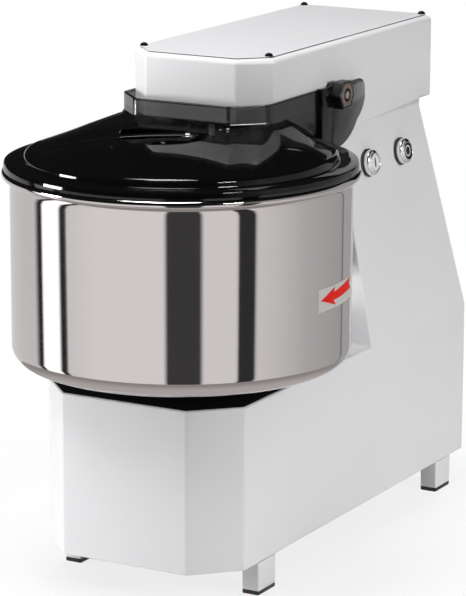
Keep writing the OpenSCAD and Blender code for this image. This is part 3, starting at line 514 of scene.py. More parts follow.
def smoked_sheet(name, smoke, bends):
    """Thermoformed smoked polycarbonate: dark grey right through, glossy, with faint drawing marks."""
    finish, tree = new_finish(name)
    # The softened sheet keeps slow waves of about 40 mm from the mould
    wave = noise(tree, 40, 1.0)
    haze = noise(tree, 6)
    # Each face lets half of the light through, unbent as in a thin pane, and less on the slant
    slant = add_node(tree, "ShaderNodeLayerWeight", {"Blend": 0.5}).outputs["Facing"]
    slanted = remap(tree, slant, 0.45, 0.95, 0.1)
    # The sheet stays thick and dark at the lip, and is drawn thin towards the collar
    at = coordinates(tree, object_place(tree))
    dense = calc(tree, "MAXIMUM", slanted, remap(tree, at["Z"], 0.93, 0.45, 452 * MM, 486 * MM))
    # The collar's bends keep more of the sheet, and the denser lines there are also painted shade for the light
    # that the bends turn aside, so they show as dark upright lines
    collar = remap(tree, at["Z"], 0, 0.8, 488 * MM, 492 * MM)
    for across, bend in zip((calc(tree, "ABSOLUTE", at["X"]), at["Y"]), bends):
        line = calc(tree, "COMPARE", across, bend, 1.3 * MM)
        dense = calc(tree, "MAXIMUM", dense, calc(tree, "MULTIPLY", line, collar))
    shaded(tree, Base_Color=rgba(smoke), Roughness=remap(tree, haze, 0.02, 0.07),
           Normal=relief(tree, wave, 0.05, 1), Alpha=dense, IOR=1.5)
    return finish


def make_finishes(colours, lid):
    """All finishes of the mixer by the names of the record's material slots, and a few marks."""
    bends = (lid.collar_half - lid.collar_chamfer, AXIS_Y + lid.collar_chamfer - lid.collar_front)
    # Lines round an upright axis, and lines along it
    round_about, lengthways = (0.04, 0.04, 1), (1, 1, 0.05)
    return {
        "white_powder_coat": powder_coat("white powder coat on sheet steel", colours.paint),
        # Mirror-polished wall with polishing lines round the bowl, 0.3 mm apart, drawn at 0.8 mm
        "polished_stainless": metal("polished stainless bowl sheet", colours.steel, (0.03, 0.08),
                                    0.8, 0.002, 0.965, (0.02, 0.02, 1)),
        "stainless_fastener": metal("bright stainless screw", linear("#C9C9CA"), (0.12, 0.25), 1.5, 0.02),
        "black_screw": metal("black oxide screw", linear("#1B1B1C"), (0.35, 0.5), 1.5, 0.02),
        "smoked_plastic": smoked_sheet("smoked polycarbonate sheet", colours.smoke, bends),
        "black_plastic": moulded("black moulded polyamide", colours.black, (0.35, 0.5), 0.8, 0.05, 1.4),
        "knob_plastic": moulded("black moulded knob", linear("#121212"), (0.25, 0.4), 0.8, 0.04),
        "chrome_bezel": metal("satin chrome bezel", linear("#F2F2F3"), (0.18, 0.24), 6, 0.001, 0.96),
        "white_button": moulded("white moulded button", linear("#EDEDEA"), (0.22, 0.3), 0.9, 0.02, 1.05),
        "black_button": moulded("black moulded button", linear("#0C0C0D"), (0.3, 0.4), 0.9, 0.02, 1.3, 0.15),
        "bush_plastic": moulded("turned black acetal bush", linear("#141414"), (0.3, 0.45), 1, 0.03, 1.3),
        "bearing_steel": metal("ground bearing steel", linear("#B9BABC"), (0.15, 0.28), 0.6, 0.01,
                               stretch=lengthways),
        "machined_steel": metal("turned and oiled steel", linear("#8E8F92"), (0.25, 0.4), 0.6, 0.03,
                                stretch=round_about),
        "belt_rubber": moulded("ribbed rubber belt", linear("#19191A"), (0.65, 0.8), 1.2, 0.1, 1.5),
        "housing_iron": moulded("painted cast iron", linear("#5D646B"), (0.45, 0.6), 2.5, 0.25, 1.15),
        "zinc_sheet": metal("zinc plated sheet", linear("#A6A8AA"), (0.3, 0.5), 9, 0.02, 0.86),
        "knob_face": metal("worn steel knob face", colours.knob, (0.35, 0.55), 1.2, 0.05, 0.7),
        # Near-black matt sheet laid under the bowl: painted shadow of the bowl on the base's top
        "rubber_sheet": moulded("black rubber sheet", linear("#0A0A0A"), (0.75, 0.9), 2, 0.05, 1.2, 0.1),
        "label_film": moulded("pale label film", colours.label, (0.25, 0.35), 3, 0.02, 1.05),
        "label_ink": moulded("red screen ink", colours.arrow, (0.5, 0.6), 1.5, 0.02, 1.08, 0.1),
        "grey_mark": moulded("grey printed mark", linear("#8B8C8E"), (0.4, 0.5), 1, 0.02, 1.1),
    }


FINISH = {}


# OPERATORS


class MIXER_OT_finishes(bpy.types.Operator):
    """Makes the finishes and gives them to the CAD nodes that stay visible"""
    bl_idname = "mixer.finishes"
    bl_label = "Finishes"

    def execute(self, context):
        FINISH.update(make_finishes(context.scene.mixer_finishes, context.scene.mixer_lid))
        for part in frame["record"]["subparts"]:
            node = frame["nodes"][part["node"]]
            node.data.materials.clear()
            finish = "black_screw" if part["node"] == "head_cover_screws" else part["material_slot"]
            node.data.materials.append(FINISH[finish])
        return {"FINISHED"}


class MIXER_OT_body(bpy.types.Operator):
    """Folds base, column and head from one painted skin"""
    bl_idname = "mixer.body"
    bl_label = "Painted body"

    def execute(self, context):
        sizes = context.scene.mixer_body
        foot_y, neck_y = AXIS_Y + sizes.column_foot, AXIS_Y + sizes.column_neck
        back_y = AXIS_Y + sizes.column_back
        half, head_half = BASE_HIGH.x, HEAD_HIGH.x
        low, top, neck = BASE_LOW.z, BASE_HIGH.z, HEAD_LOW.z
        floor, roof = neck + sizes.head_step, HEAD_HIGH.z
        body = block(BASE_LOW, BASE_HIGH)
        # The column rises from the back of the base, leans in and carries the head
        halve((0, foot_y, 0), (0, 1, 0))
        pick(body, "faces", lambda f: facing(f, 2) > 0 and middle(f).y > foot_y)
        extrude(0, 0, neck - top)
        centre = Vector((0, (foot_y + BASE_HIGH.y) / 2, neck))
        bpy.ops.transform.resize(
            value=(head_half / half, (back_y - neck_y) / (BASE_HIGH.y - foot_y), 1), center_override=centre)
        bpy.ops.transform.translate(value=(0, (neck_y + back_y) / 2 - centre.y, 0))
        extrude(0, 0, floor - neck)
        extrude(0, 0, roof - floor)
        pick(body, "faces", lambda f: facing(f, 1) > 0 and middle(f).z > neck)
        extrude(0, HEAD_HIGH.y - back_y, 0)
        throat = foot_y - (foot_y - neck_y) * (floor - top) / (neck - top)
        pick(body, "faces", lambda f: facing(f, 1) < 0 and middle(f).z > floor)
        extrude(0, throat - neck_y, 0)
        extrude(0, HEAD_LOW.y - throat, 0)
        pick(body, "verts", lambda v: near(v.co.y, neck_y) and near(v.co.z, floor))
        bpy.ops.transform.translate(value=(0, 0, neck - floor))
        select_all()
        bpy.ops.mesh.remove_doubles(threshold=0.05 * MM)
        bpy.ops.mesh.dissolve_limited(angle_limit=math.radians(0.5))
        # The dressed weld between column and head leaves a shallow valley under the head's sides
        valley = neck - sizes.seam
        halve((0, 0, valley), (0, 0, 1))
        pick(body, "verts", lambda v: near(v.co.z, valley))
        side = head_half + sizes.seam * (half - head_half) / (neck - top)
        bpy.ops.transform.resize(value=(1 - sizes.seam_depth / side, 1, 1), center_override=(0, 0, valley))
        # Cut front corners
        for front, across, width in ((BASE_LOW.y, half, sizes.base_chamfer),
                                     (HEAD_LOW.y, head_half, sizes.head_chamfer)):
            pick(body, "edges", lambda e: upright(e) and near(middle(e).y, front)
                 and near(abs(middle(e).x), across))
            bevel(width, 1)
        # Open back for the rear cover, and flanges round the openings for the other covers
        pick(body, "faces", lambda f: facing(f, 1) > 0 and middle(f).z < neck)
        bpy.ops.mesh.delete(type="FACE")
        for level in (low, roof):
            pick(body, "faces", lambda f: facing(f, 2) and near(middle(f).z, level))
            bpy.ops.mesh.inset(thickness=sizes.flange, use_boundary=level == roof)
            bpy.ops.mesh.delete(type="FACE")
        # Creases where the sides start to lean, then the folded edges
        pick(body, "edges", lambda e: along(e, 1, 0.9) and near(middle(e).z, top)
             and sharp(e, 4) and not sharp(e, 12))
        bpy.ops.mesh.mark_sharp()
        pick(body, "edges", lambda e: near(middle(e).z, roof) and sharp(e, 30))
        bevel(sizes.head_bend, 5)
        pick(body, "edges", lambda e: sharp(e, 25) and middle(e).z < roof - 0.5 * MM)
        bevel(sizes.bend)
        modifier(body, "SOLIDIFY", thickness=sizes.sheet, offset=-1, use_even_offset=True)
        cut(body, self.holes(), "MANIFOLD")
        modifier(body, "WEIGHTED_NORMAL", keep_sharp=True)
        done(body, "painted_body", "frame", "white_powder_coat", "base_shell", "column_shell", "head_shell",
             smooth=40)
        return {"FINISHED"}

    @staticmethod
    def holes():
        """Cutters for what passes through the sheet: shafts, breaker bar, hinge bushes and buttons"""
        base_top, head_floor = BASE_HIGH.z, HEAD_HIGH.z - 70 * MM
        bush, switch, upright_depth, side_depth = 10.05 * MM, 11.3 * MM, 14 * MM, 12 * MM
        cutters = []
        # Height of the sheet, and how far the hole's edge lies outside the node's box, in millimetres
        for node, level, gap in (("bowl_bearing_housing", base_top, -19.7), ("drive_shaft", base_top, 10),
                                 ("spiral_bearing_housing", head_floor, -14.7),
                                 ("breaker_bar", head_floor, -3.7)):
            low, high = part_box(node)
            place = ((low.x + high.x) / 2, (low.y + high.y) / 2, level)
            cutters.append(rod((high.x - low.x) / 2 + gap * MM, upright_depth, place))
        for side in (-1, 1):
            cutters.append(rod(bush, side_depth, (side * HEAD_HIGH.x, HINGE.y, HINGE.z), ACROSS))
        for which in ("start", "stop"):
            cutters.append(rod(switch, side_depth, *button_place(which)))
        return join(cutters)


def panel_tilt():
    """Lean of the column's sides"""
    return math.atan2(BASE_HIGH.x - HEAD_HIGH.x, HEAD_LOW.z - BASE_HIGH.z)


def button_place(which):
    """Place on the leaning panel at the middle of a button's bezel, and the turn that points out of it"""
    tilt = panel_tilt()
    low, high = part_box(f"{which}_bezel")
    thick = (high.z - low.z - CAD_BEZEL * math.cos(tilt)) / math.sin(tilt)
    z = (low.z + high.z) / 2 - math.sin(tilt) * (GASKET + thick / 2)
    at = Vector((BASE_HIGH.x - (z - BASE_HIGH.z) * math.tan(tilt), (low.y + high.y) / 2, z))
    return at, (0, math.pi / 2 - tilt, 0)


class MIXER_OT_covers(bpy.types.Operator):
    """Makes the top cover of the head with its rounded rim, and a black sheet on the base's top that paints the
    shadow under the bowl
    """
    bl_idname = "mixer.covers"
    bl_label = "Covers"

    def execute(self, context):
        sizes = context.scene.mixer_body
        low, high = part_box("head_cover")
        middle_y = (low.y + high.y) / 2
        inset, corner, rim = 2.9 * MM, 2 * MM, 0.7 * MM
        cover = block(low, high)
        pick(cover, "edges", lambda e: upright(e) and middle(e).y < middle_y)
        bevel(sizes.head_chamfer - inset, 1)
        pick(cover, "edges", upright)
        bevel(corner)
        pick(cover, "edges", lambda e: near(middle(e).z, high.z) and sharp(e, 60))
        bevel(rim)
        modifier(cover, "WEIGHTED_NORMAL", keep_sharp=True)
        # A black seal under the plate's edge, whose black also paints the seam's shade as a fine dark line all
        # round. Shares of the CAD cover's height.
        seam_shade_seal, seam_shade_seal_share, plate_share = copy_of(cover), 0.66, 0.36
        wide, deep = ((far - rim) / far for far in (high.x, high.y - middle_y))
        for v in seam_shade_seal.data.vertices:
            v.co = (v.co.x * wide, middle_y + (v.co.y - middle_y) * deep,
                    low.z + (v.co.z - low.z) * seam_shade_seal_share)
        for v in cover.data.vertices:
            v.co.z = high.z - (high.z - v.co.z) * plate_share
        # The seal's black paints the shade of the seam under the plate's edge
        done(seam_shade_seal, "cover_seal", "frame", "black_plastic")
        done(cover, "top_cover", "frame", "white_powder_coat", "head_cover")
        # The black sheet under the bowl paints the bowl's shadow
        self.rubber_sheet(sizes)
        return {"FINISHED"}

    @staticmethod
    def rubber_sheet(sizes):
        """Lays a thin black ring on the base's top as painted shadow under the bowl, and trims it along the folded
        edges.
        """
        inner, outer, thick = 60, 150, 1
        sheet = lathe([(inner, 0), (outer, 0), (outer, thick), (inner, thick), (inner, 0)], 96,
                      (0, AXIS_Y, BASE_HIGH.z), unit=MM)
        bpy.ops.object.mode_set(mode="EDIT")
        corner = Vector((BASE_HIGH.x - sizes.base_chamfer, BASE_LOW.y, 0))
        for place, x, y in ((BASE_HIGH, 1, 0), (BASE_LOW, -1, 0), (BASE_LOW, 0, -1),
                            (corner, 1, -1), (corner * Vector((-1, 1, 1)), -1, -1)):
            outward = Vector((x, y, 0)).normalized()
            halve(place - outward * sizes.bend, outward, clear_outer=True, use_fill=True)
        face_outward()
        done(sheet, "bowl_rubber_sheet", "frame", "black_plastic", finish="rubber_sheet")


class MIXER_OT_legs(bpy.types.Operator):
    """Models one leg tube and one foot cap, and copies them to the four corners"""
    bl_idname = "mixer.legs"
    bl_label = "Legs"

    def execute(self, context):
        names = ("leg_front_left", "leg_front_right", "leg_rear_left", "leg_rear_right")
        low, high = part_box(names[0])
        wall, corner = 2 * MM, 1.6 * MM
        tube = block(low, high)
        pick(tube, "faces", lambda f: facing(f, 2) < 0)
        bpy.ops.mesh.inset(thickness=wall)
        extrude(0, 0, high.z - low.z - wall)
        pick(tube, "edges", lambda e: upright(e) and len(e.link_faces) == 2
             and near(abs(middle(e).x - (low.x + high.x) / 2), (high.x - low.x) / 2))
        bevel(corner)
        cap_corner, foot_edge, play, plug = 2 * MM, 1.2 * MM, 0.1 * MM, 12 * MM
        cap = block((low.x, low.y, 0), (high.x, high.y, low.z))
        pick(cap, "edges", upright)
        bevel(cap_corner)
        pick(cap, "edges", lambda e: near(middle(e).z, 0) and sharp(e, 60))
        bevel(foot_edge, 2)
        pick(cap, "faces", lambda f: facing(f, 2) > 0)
        bpy.ops.mesh.inset(thickness=wall + play)
        extrude(0, 0, plug)
        clear_selection()
        caps = []
        for name in names:
            leg, foot = copy_of(tube), copy_of(cap)
            for part in (leg, foot):
                part.data.transform(Matrix.Translation(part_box(name)[0] - low))
            caps.append(foot)
            done(leg, f"{name}_tube", "frame", "white_powder_coat", name)
        bpy.data.objects.remove(tube)
        bpy.data.objects.remove(cap)
        done(join(caps), "leg_end_caps", "frame", "black_plastic", "foot_caps")
        return {"FINISHED"}


class MIXER_OT_bowl(bpy.types.Operator):
    """Spins the steel bowl with its rolled rim"""
    bl_idname = "mixer.bowl"
    bl_label = "Bowl"

    def execute(self, context):
        sizes = context.scene.mixer_bowl
        rim_radius = sizes.rim / 2
        outer, floor = BOWL_HIGH.x - sizes.rim_out, BOWL_LOW.z
        inner = outer - sizes.wall
        rim_z = BOWL_HIGH.z - rim_radius
        bead = (BOWL_HIGH.x - rim_radius - 0.05 * MM, rim_z)
        corner = (outer - sizes.corner, floor + sizes.corner)
        # The wall flares into the rim, in millimetres outwards and upwards from the flare's foot
        flare = rim_z - 1.1 * sizes.rim
        outside = ((0, -4), (0, 0), (0.5, 3), (1.6, 5.4))
        inside = ((0.6, 6), (0, 0), (0, -6))
        points = [(0, floor), (outer / 2, floor)]
        points += arc(corner, sizes.corner, -90, 0, 8)
        points += [(outer + out * MM, flare + up * MM) for out, up in outside]
        points += arc(bead, rim_radius, -112, 150, 16)
        points += [(inner + out * MM, flare + up * MM) for out, up in inside]
        points += arc(corner, sizes.corner - sizes.wall, 0, -90, 8)
        points += [(outer / 2, floor + sizes.wall), (0, floor + sizes.wall)]
        bowl = lathe(points, sizes.steps, (0, AXIS_Y, 0))
        done(bowl, "steel_bowl", "bowl_group", "polished_stainless", "bowl", smooth=35)
        return {"FINISHED"}


class MIXER_OT_label(bpy.types.Operator):
    """Lays a pale film with a plain turning arrow on the bowl's wall"""
    bl_idname = "mixer.label"
    bl_label = "Direction label"

    def execute(self, context):
        sizes = context.scene.mixer_bowl
        wall = BOWL_HIGH.x - sizes.rim_out
        start, end = math.radians(-9.3), math.radians(19)
        low, high = sizes.label_low, sizes.label_high

        def on_wall(u, w, lift):
            """Place above the bowl's wall, from shares of the label's length and height"""
            angle, r = start + u * (end - start), wall + lift * MM
            return (r * math.cos(angle), AXIS_Y + r * math.sin(angle), low + w * (high - low))

        # Heights above the wall and thicknesses in millimetres
        film_lift, film_thick, ink_lift, ink_thick = 0.02, 0.15, 0.2, 0.1
        film = primitive(bpy.ops.mesh.primitive_grid_add, x_subdivisions=28, y_subdivisions=2, size=1)
        reshape(film, lambda at: on_wall(at.x + 0.5, at.y + 0.5, film_lift))
        self.stick(film, film_thick, "label_film", "label_film")
        # The arrow bends upwards along its length, with a forked tail. Shares of the label's size.
        head = [(0.05, 0.50), (0.37, 0.93), (0.345, 0.70)]
        tail = [(0.55, 0.80), (0.75, 0.88), (0.93, 0.97), (0.86, 0.66), (0.95, 0.42)]
        back = [(0.70, 0.40), (0.50, 0.36), (0.335, 0.33), (0.40, 0.08)]
        arrow = polygon([(u, w, 0) for u, w in head + tail + back])
        strips = 24
        for k in range(1, strips):
            halve((k / strips, 0, 0), (1, 0, 0))
        reshape(arrow, lambda at: on_wall(at.x, at.y, ink_lift))
        self.stick(arrow, ink_thick, "label_arrow", "label_ink")
        return {"FINISHED"}

    @staticmethod
    def stick(piece, thick, name, finish):
        """Gives a layer of the label its thickness, outwards from the bowl."""
        face_outward()
        modifier(piece, "SOLIDIFY", thickness=thick * MM, offset=1)
        done(piece, name, "bowl_group", "polished_stainless", finish=finish)


class MIXER_OT_lid(bpy.types.Operator):
    """Forms the smoked cover: lip, flange, step, sloping dome, collar round the head and two ears"""
    bl_idname = "mixer.lid"
    bl_label = "Smoked cover"

    def execute(self, context):
        s = context.scene.mixer_lid
        columns = [self.column(s, angle) for angle in self.angles(s)]
        lid = primitive(bpy.ops.mesh.primitive_grid_add, x_subdivisions=len(columns) - 1,
                        y_subdivisions=len(columns[0]) - 1, size=1)
        places = iter([column[row] for row in range(len(columns[0])) for column in columns])
        reshape(lid, lambda at: next(places))
        select_all()
        bpy.ops.mesh.remove_doubles(threshold=0.03 * MM)
        bpy.ops.mesh.dissolve_degenerate(threshold=0.02 * MM)
        face_outward()
        top = max(bmesh.from_edit_mesh(lid.data).faces, key=lambda f: f.calc_area())
        if top.normal.z < 0:
            bpy.ops.mesh.flip_normals()
        modifier(lid, "SOLIDIFY", thickness=s.wall, offset=-1)
        # Half-round feed opening in the dome, with rounded corners
        feed_y, feed_corner = AXIS_Y - s.feed_edge, 5 * MM
        feed = rod(s.feed_radius, 100 * MM, (0, feed_y, s.crown), sides=96)
        halve((0, feed_y, 0), (0, 1, 0), clear_outer=True, use_fill=True)
        pick(feed, "edges", lambda e: upright(e) and sharp(e, 60))
        bevel(feed_corner, 5)
        cut(lid, feed)
        ear = self.ear(s)
        join([lid, ear, mirrored(ear)])
        done(lid, "smoked_cover", "lid_group", "smoked_plastic", "lid", smooth=40)
        return {"FINISHED"}

    @staticmethod
    def angles(s):
        """Directions from the middle of the collar, from its right end round the front to the left end"""
        # The collar's side runs back to the cover's round edge and ends just inside it
        end_y = math.sqrt(LID_EDGE ** 2 - s.collar_half ** 2) - 0.4 * MM
        end = math.atan2(end_y - LID_CENTRE, s.collar_half)
        corners = [math.atan2(-LID_CENTRE - s.collar_front + s.collar_chamfer, s.collar_half),
                   math.atan2(-LID_CENTRE - s.collar_front, s.collar_half - s.collar_chamfer)]
        # Even steps, and close ones round the collar's corners, in degrees
        steps, close = 90, (-2.4, -1.5, -0.8, -0.3, 0.3, 0.8, 1.5, 2.4)
        right = [end - (end + math.pi / 2) * k / steps for k in range(steps + 1)]
        right += [corner + math.radians(d) for corner in corners for d in close]
        right = sorted(right, reverse=True)
        return right + [-math.pi - a for a in reversed(right) if a > -math.pi / 2 + 1e-6]

    @staticmethod
    def column(s, angle):
        """Points of the skin in one direction, from the lip up to the collar's upper edge"""
        x, y = math.cos(angle), math.sin(angle)
        far_away = 9
        walls = [s.collar_half / abs(x) if abs(x) > 1e-6 else far_away]
        if y < 0:
            walls.append((LID_CENTRE + s.collar_front) / -y)
            walls.append((s.collar_half + LID_CENTRE + s.collar_front - s.collar_chamfer) / (abs(x) - y))
        # The corners of the collar are eased, so the nearest wall counts most and not alone
        soft, nearest = s.collar_ease, min(walls)
        wall = nearest - soft * math.log(sum(math.exp((nearest - w) / soft) for w in walls))

        def reach(radius):
            """Distance in this direction to a circle about the bowl's axis, kept outside the collar"""
            side = y * LID_CENTRE
            return max(wall, -side + math.sqrt(side * side - LID_CENTRE ** 2 + radius * radius))

        # Lip, flange and step with folds of 3 mm, each with one point on its round
        flat, foot, lift = s.flange_top, s.step_radius, s.shoulder
        fold, part = 3 * MM, 0.9 * MM
        rising = [(LID_EDGE, s.lip_low), (LID_EDGE, flat - fold), (LID_EDGE - part, flat - part),
                  (LID_EDGE - fold, flat), (foot + fold, flat), (foot + part, flat + part),
                  (foot, flat + fold)]
        rising += arc((foot - lift, flat + fold), lift, 0, 78, 12)
        line = [(reach(radius), height) for radius, height in rising]
        # From the shoulder the skin rises to the collar, fuller in front where the way is long
        start, low = line[-1]
        fillet = min(s.fillet, (start - wall) / 2)
        room = start - wall - fillet
        crown = low + min(s.crown - low, room / 2)
        full = 1 + 0.4 * max(0, -y) ** 3
        skin_steps, fillet_steps = 18, 8
        for k in range(1, skin_steps + 1):
            share = k / skin_steps
            line.append((start - room * share, low + (crown - low) * (1 - (1 - share) ** full)))
        # A round fillet leads from the skin up to the collar
        for k in range(1, fillet_steps + 1):
            turn = math.pi / 2 * k / fillet_steps
            line.append((wall + fillet * (1 - math.sin(turn)), crown + fillet * (1 - math.cos(turn))))
        # The collar's upper edge is rounded
        top, edge, part = s.collar_top, 1 * MM, 0.3 * MM
        line += [(wall, top - edge), (wall - part, top - part), (wall - edge, top), (wall - s.wall, top)]
        return [(at * x, AXIS_Y + LID_CENTRE + at * y, z) for at, z in line]

    @staticmethod
    def ear(s):
        """One ear with the web that ties it to the collar's end, on the right side"""
        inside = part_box("right_lid_knob")[0].x - s.wall
        top, front, corner = LID_TOP - HINGE.z, -s.ear_front, s.ear_corner
        reach, low = s.ear_reach, s.ear_radius
        # The lower edge follows a circle, to pass the bowl's rim as the cover opens, then turns upright
        leave = -36
        start = math.degrees(math.atan2(-math.sqrt(low ** 2 - front ** 2), front))
        outline = [Vector(p) for p in arc((0, 0), low, start, leave, 24)]
        bend, knee, end = outline[-1], Vector((reach - 5 * MM, -27 * MM)), Vector((reach, -14 * MM))
        for u in (k / 8 for k in range(1, 9)):
            outline.append(bend * (1 - u) ** 2 + knee * 2 * u * (1 - u) + end * u * u)
        outline += [Vector(p) for p in arc((reach - corner, top - corner), corner, 0, 90, 8)]
        outline.append(Vector((front, top)))
        ear = polygon([(inside, HINGE.y + at.x, HINGE.z + at.y) for at in outline])
        select_all()
        extrude(s.wall, 0, 0)
        face_outward()
        ear_edge, web_edge, pin, lap = 0.7 * MM, 0.6 * MM, 6 * MM, 0.4 * MM
        pick(ear, "edges", lambda e: not along(e, 0, 0.01) and sharp(e, 60))
        bevel(ear_edge, 2)
        cut(ear, rod(pin, 30 * MM, (inside, HINGE.y, HINGE.z), ACROSS))
        front += HINGE.y
        web = block((s.collar_half - s.wall, front, s.flange_top), (inside + lap, front + s.wall, LID_TOP))
        pick(web, "edges", lambda e: near(middle(e).z, LID_TOP))
        bevel(web_edge, 2)
        return join([ear, web])


class MIXER_OT_knobs(bpy.types.Operator):
    """Models one hexagonal hinge knob with its worn face, and mirrors it"""
    bl_idname = "mixer.knobs"
    bl_label = "Hinge knobs"

    def execute(self, context):
        low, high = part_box("right_lid_knob")
        reach = context.scene.mixer_details.knob_flats / 2 / math.cos(math.pi / 6)

        def on_axis(x):
            return (x, HINGE.y, HINGE.z)

        corner, rim, land, recess = 1.2 * MM, 1.1 * MM, 1.0 * MM, 0.8 * MM
        knob = rod(reach, high.x - low.x, on_axis((low.x + high.x) / 2), ACROSS, 6)
        pick(knob, "edges", lambda e: along(e, 0))
        bevel(corner)
        pick(knob, "edges", lambda e: near(middle(e).x, high.x) and sharp(e, 60))
        bevel(rim)
        pick(knob, "faces", lambda f: facing(f, 0, 0.99) > 0 and f.calc_area() > (10 * MM) ** 2)
        bpy.ops.mesh.inset(thickness=land)
        extrude(-recess, 0, 0)
        # Worn steel face let into the black knob, with a round boss on the pin's end
        border, face_rim = 3.2 * MM, 0.25 * MM
        face = rod(reach - border, 1 * MM, on_axis(high.x - 0.7 * MM), ACROSS, 6)
        pick(face, "edges", lambda e: along(e, 0))
        bevel(corner, 2)
        pick(face, "edges", lambda e: middle(e).x > high.x - 0.5 * MM and sharp(e, 60))
        bevel(face_rim, 2)
        r = 7.6
        ring = lathe([(0, -1), (r, -1), (r, 0.35), (r - 0.4, 0.55), (r - 2.7, 0.55), (r - 3, 0.1), (0, 0.1)],
                     40, on_axis(high.x - 0.75 * MM), ACROSS, MM)
        r = 4.6
        boss = lathe([(0, -1), (r, -1), (r, 0.1), (r - 0.7, 0.5), (0, 0.62)],
                     40, on_axis(high.x - 0.7 * MM), ACROSS, MM)
        for part, name, finish, node in (
                (knob, "lid_knob_body", "knob_plastic", True), (face, "lid_knob_face", "knob_face", False),
                (ring, "lid_knob_ring", "knob_plastic", False), (boss, "lid_pin_end", "grey_mark", False)):
            for side, item in (("left", mirrored(part)), ("right", part)):
                nodes = [f"{side}_lid_knob"] if node else []
                done(item, f"{side}_{name}", "lid_group", "knob_plastic", *nodes, finish=finish)
        return {"FINISHED"}


class MIXER_OT_buttons(bpy.types.Operator):
    """Turns the bezels, gaskets and buttons, and lays the I and O marks on them"""
    bl_idname = "mixer.buttons"
    bl_label = "Buttons"

    def execute(self, context):
        sizes = context.scene.mixer_details
        outward = Vector((math.cos(panel_tilt()), 0, math.sin(panel_tilt())))
        # Profiles in millimetres from the panel or the gasket's face outwards
        r, h, cap, gap = (size / MM for size in (
            sizes.bezel_radius, sizes.bezel_height, sizes.cap_radius, GASKET))
        bore, seat, shoulder, top, stem = cap + 0.3, cap + 1, 3.4, h - 0.6, -10
        bezel_line = [(bore, 0), (r - 0.2, 0), (r, 0.4), (r, h * 0.42)]
        bezel_line += arc((r - shoulder, h * 0.45), shoulder, 0, 72, 8)
        bezel_line += [(cap + 1.2, h - 0.05), (cap + 0.6, h), (bore, h - 0.4), (bore, 0)]
        gasket_line = [(seat, 0), (r + 1, 0), (r + 1.2, 0.3), (r + 1.1, 0.8), (r + 0.8, gap), (seat, gap),
                       (seat, 0)]
        button_line = [(0, stem), (cap, stem), (cap, top - 0.7), (cap - 0.2, top - 0.2), (cap - 0.7, top),
                       (cap - 1.6, top - 0.1), (cap / 2, top - 0.35), (0, top - 0.45)]
        gaskets = []
        for which, slot, mark_finish, make_mark in (
                ("start", "white_button", "black_button", self.bar),
                ("stop", "black_button", "white_button", self.ring)):
            at, turn = button_place(which)
            face = at + outward * GASKET
            bezel = lathe(bezel_line, 72, face, turn, MM)
            done(bezel, f"{which}_bezel_ring", "frame", "chrome_bezel", f"{which}_bezel")
            gaskets.append(lathe(gasket_line, 72, at, turn, MM))
            button = lathe(button_line, 72, face, turn, MM)
            done(button, f"{which}_button_cap", f"{which}_cap", slot, f"{which}_button")
            mark = make_mark()
            put(mark, at + outward * (GASKET + (top - 0.3) * MM), turn)
            done(mark, f"{which}_mark", f"{which}_cap", slot, finish=mark_finish)
        done(join(gaskets), "button_gasket_rings", "frame", "black_plastic", "button_gaskets")
        return {"FINISHED"}

    @staticmethod
    def bar():
        """The I mark"""
        half, corner = [size * MM / 2 for size in (11, 2.3, 0.3)], 0.8 * MM
        mark = block([-far for far in half], half)
        pick(mark, "edges", upright)
        bevel(corner)
        return mark

    @staticmethod
    def ring():
        """The O mark"""
        r, wide, edge = 5.6, 0.8, 0.6
        return lathe([(r - wide, -0.2), (r + wide, -0.2), (r + wide, 0.1), (r + edge, 0.2), (r - edge, 0.2),
                      (r - wide, 0.1), (r - wide, -0.2)], 64, unit=MM)


class MIXER_OT_tools(bpy.types.Operator):
    """Sweeps the spiral's round bar and turns its hub"""
    bl_idname = "mixer.tools"
    bl_label = "Spiral"

    def execute(self, context):
        sizes = context.scene.mixer_details
        low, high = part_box("spiral_tool")
        axis_y = joint_place("spiral_spin").y
        # Hub profile in millimetres
        r, bore, tall, floor = 20, 10, 16, 4
        top, foot = high.z - tall * MM, low.z + sizes.spiral_bar / 2

        def ease(t):
            t = min(1, max(0, t))
            return t * t * (3 - 2 * t)

        path = bpy.data.curves.new("spiral path", "CURVE")
        path.dimensions = "3D"
        path.bevel_depth = sizes.spiral_bar / 2
        path.bevel_resolution = 6
        path.use_fill_caps = True
        line = path.splines.new("POLY")
        steps = 150
        line.points.add(steps)
        # The bar leaves the axis at the hub and turns back towards it at the foot
        opens, closes, closed = 0.24, 0.2, 0.7
        for k, point in enumerate(line.points):
            u = k / steps
            a = -math.pi / 2 + math.tau * sizes.spiral_turns * u
            out = sizes.spiral_radius * ease(u / opens) * (1 - closed * ease((u - 1 + closes) / closes))
            point.co = (out * math.cos(a), axis_y + out * math.sin(a), top - (top - foot) * u, 1)
        spiral = bpy.data.objects.new("spiral path", path)
        bpy.context.scene.collection.objects.link(spiral)
        only(spiral)
        bpy.ops.object.convert(target="MESH")
        bpy.ops.object.mode_set(mode="EDIT")
        select_all()
        bpy.ops.mesh.remove_doubles(threshold=0.01 * MM)
        face_outward()
        hub = lathe([(0, -2), (r - 2, -2), (r, 0), (r, tall - 1.2), (r - 1.2, tall), (bore, tall),
                     (bore, floor), (0, floor)], 64, (0, axis_y, top), unit=MM)
        done(join([hub, bpy.context.scene.objects["spiral path"]]), "spiral_hook", "spiral_group",
             "polished_stainless", "spiral_tool", smooth=45)
        return {"FINISHED"}


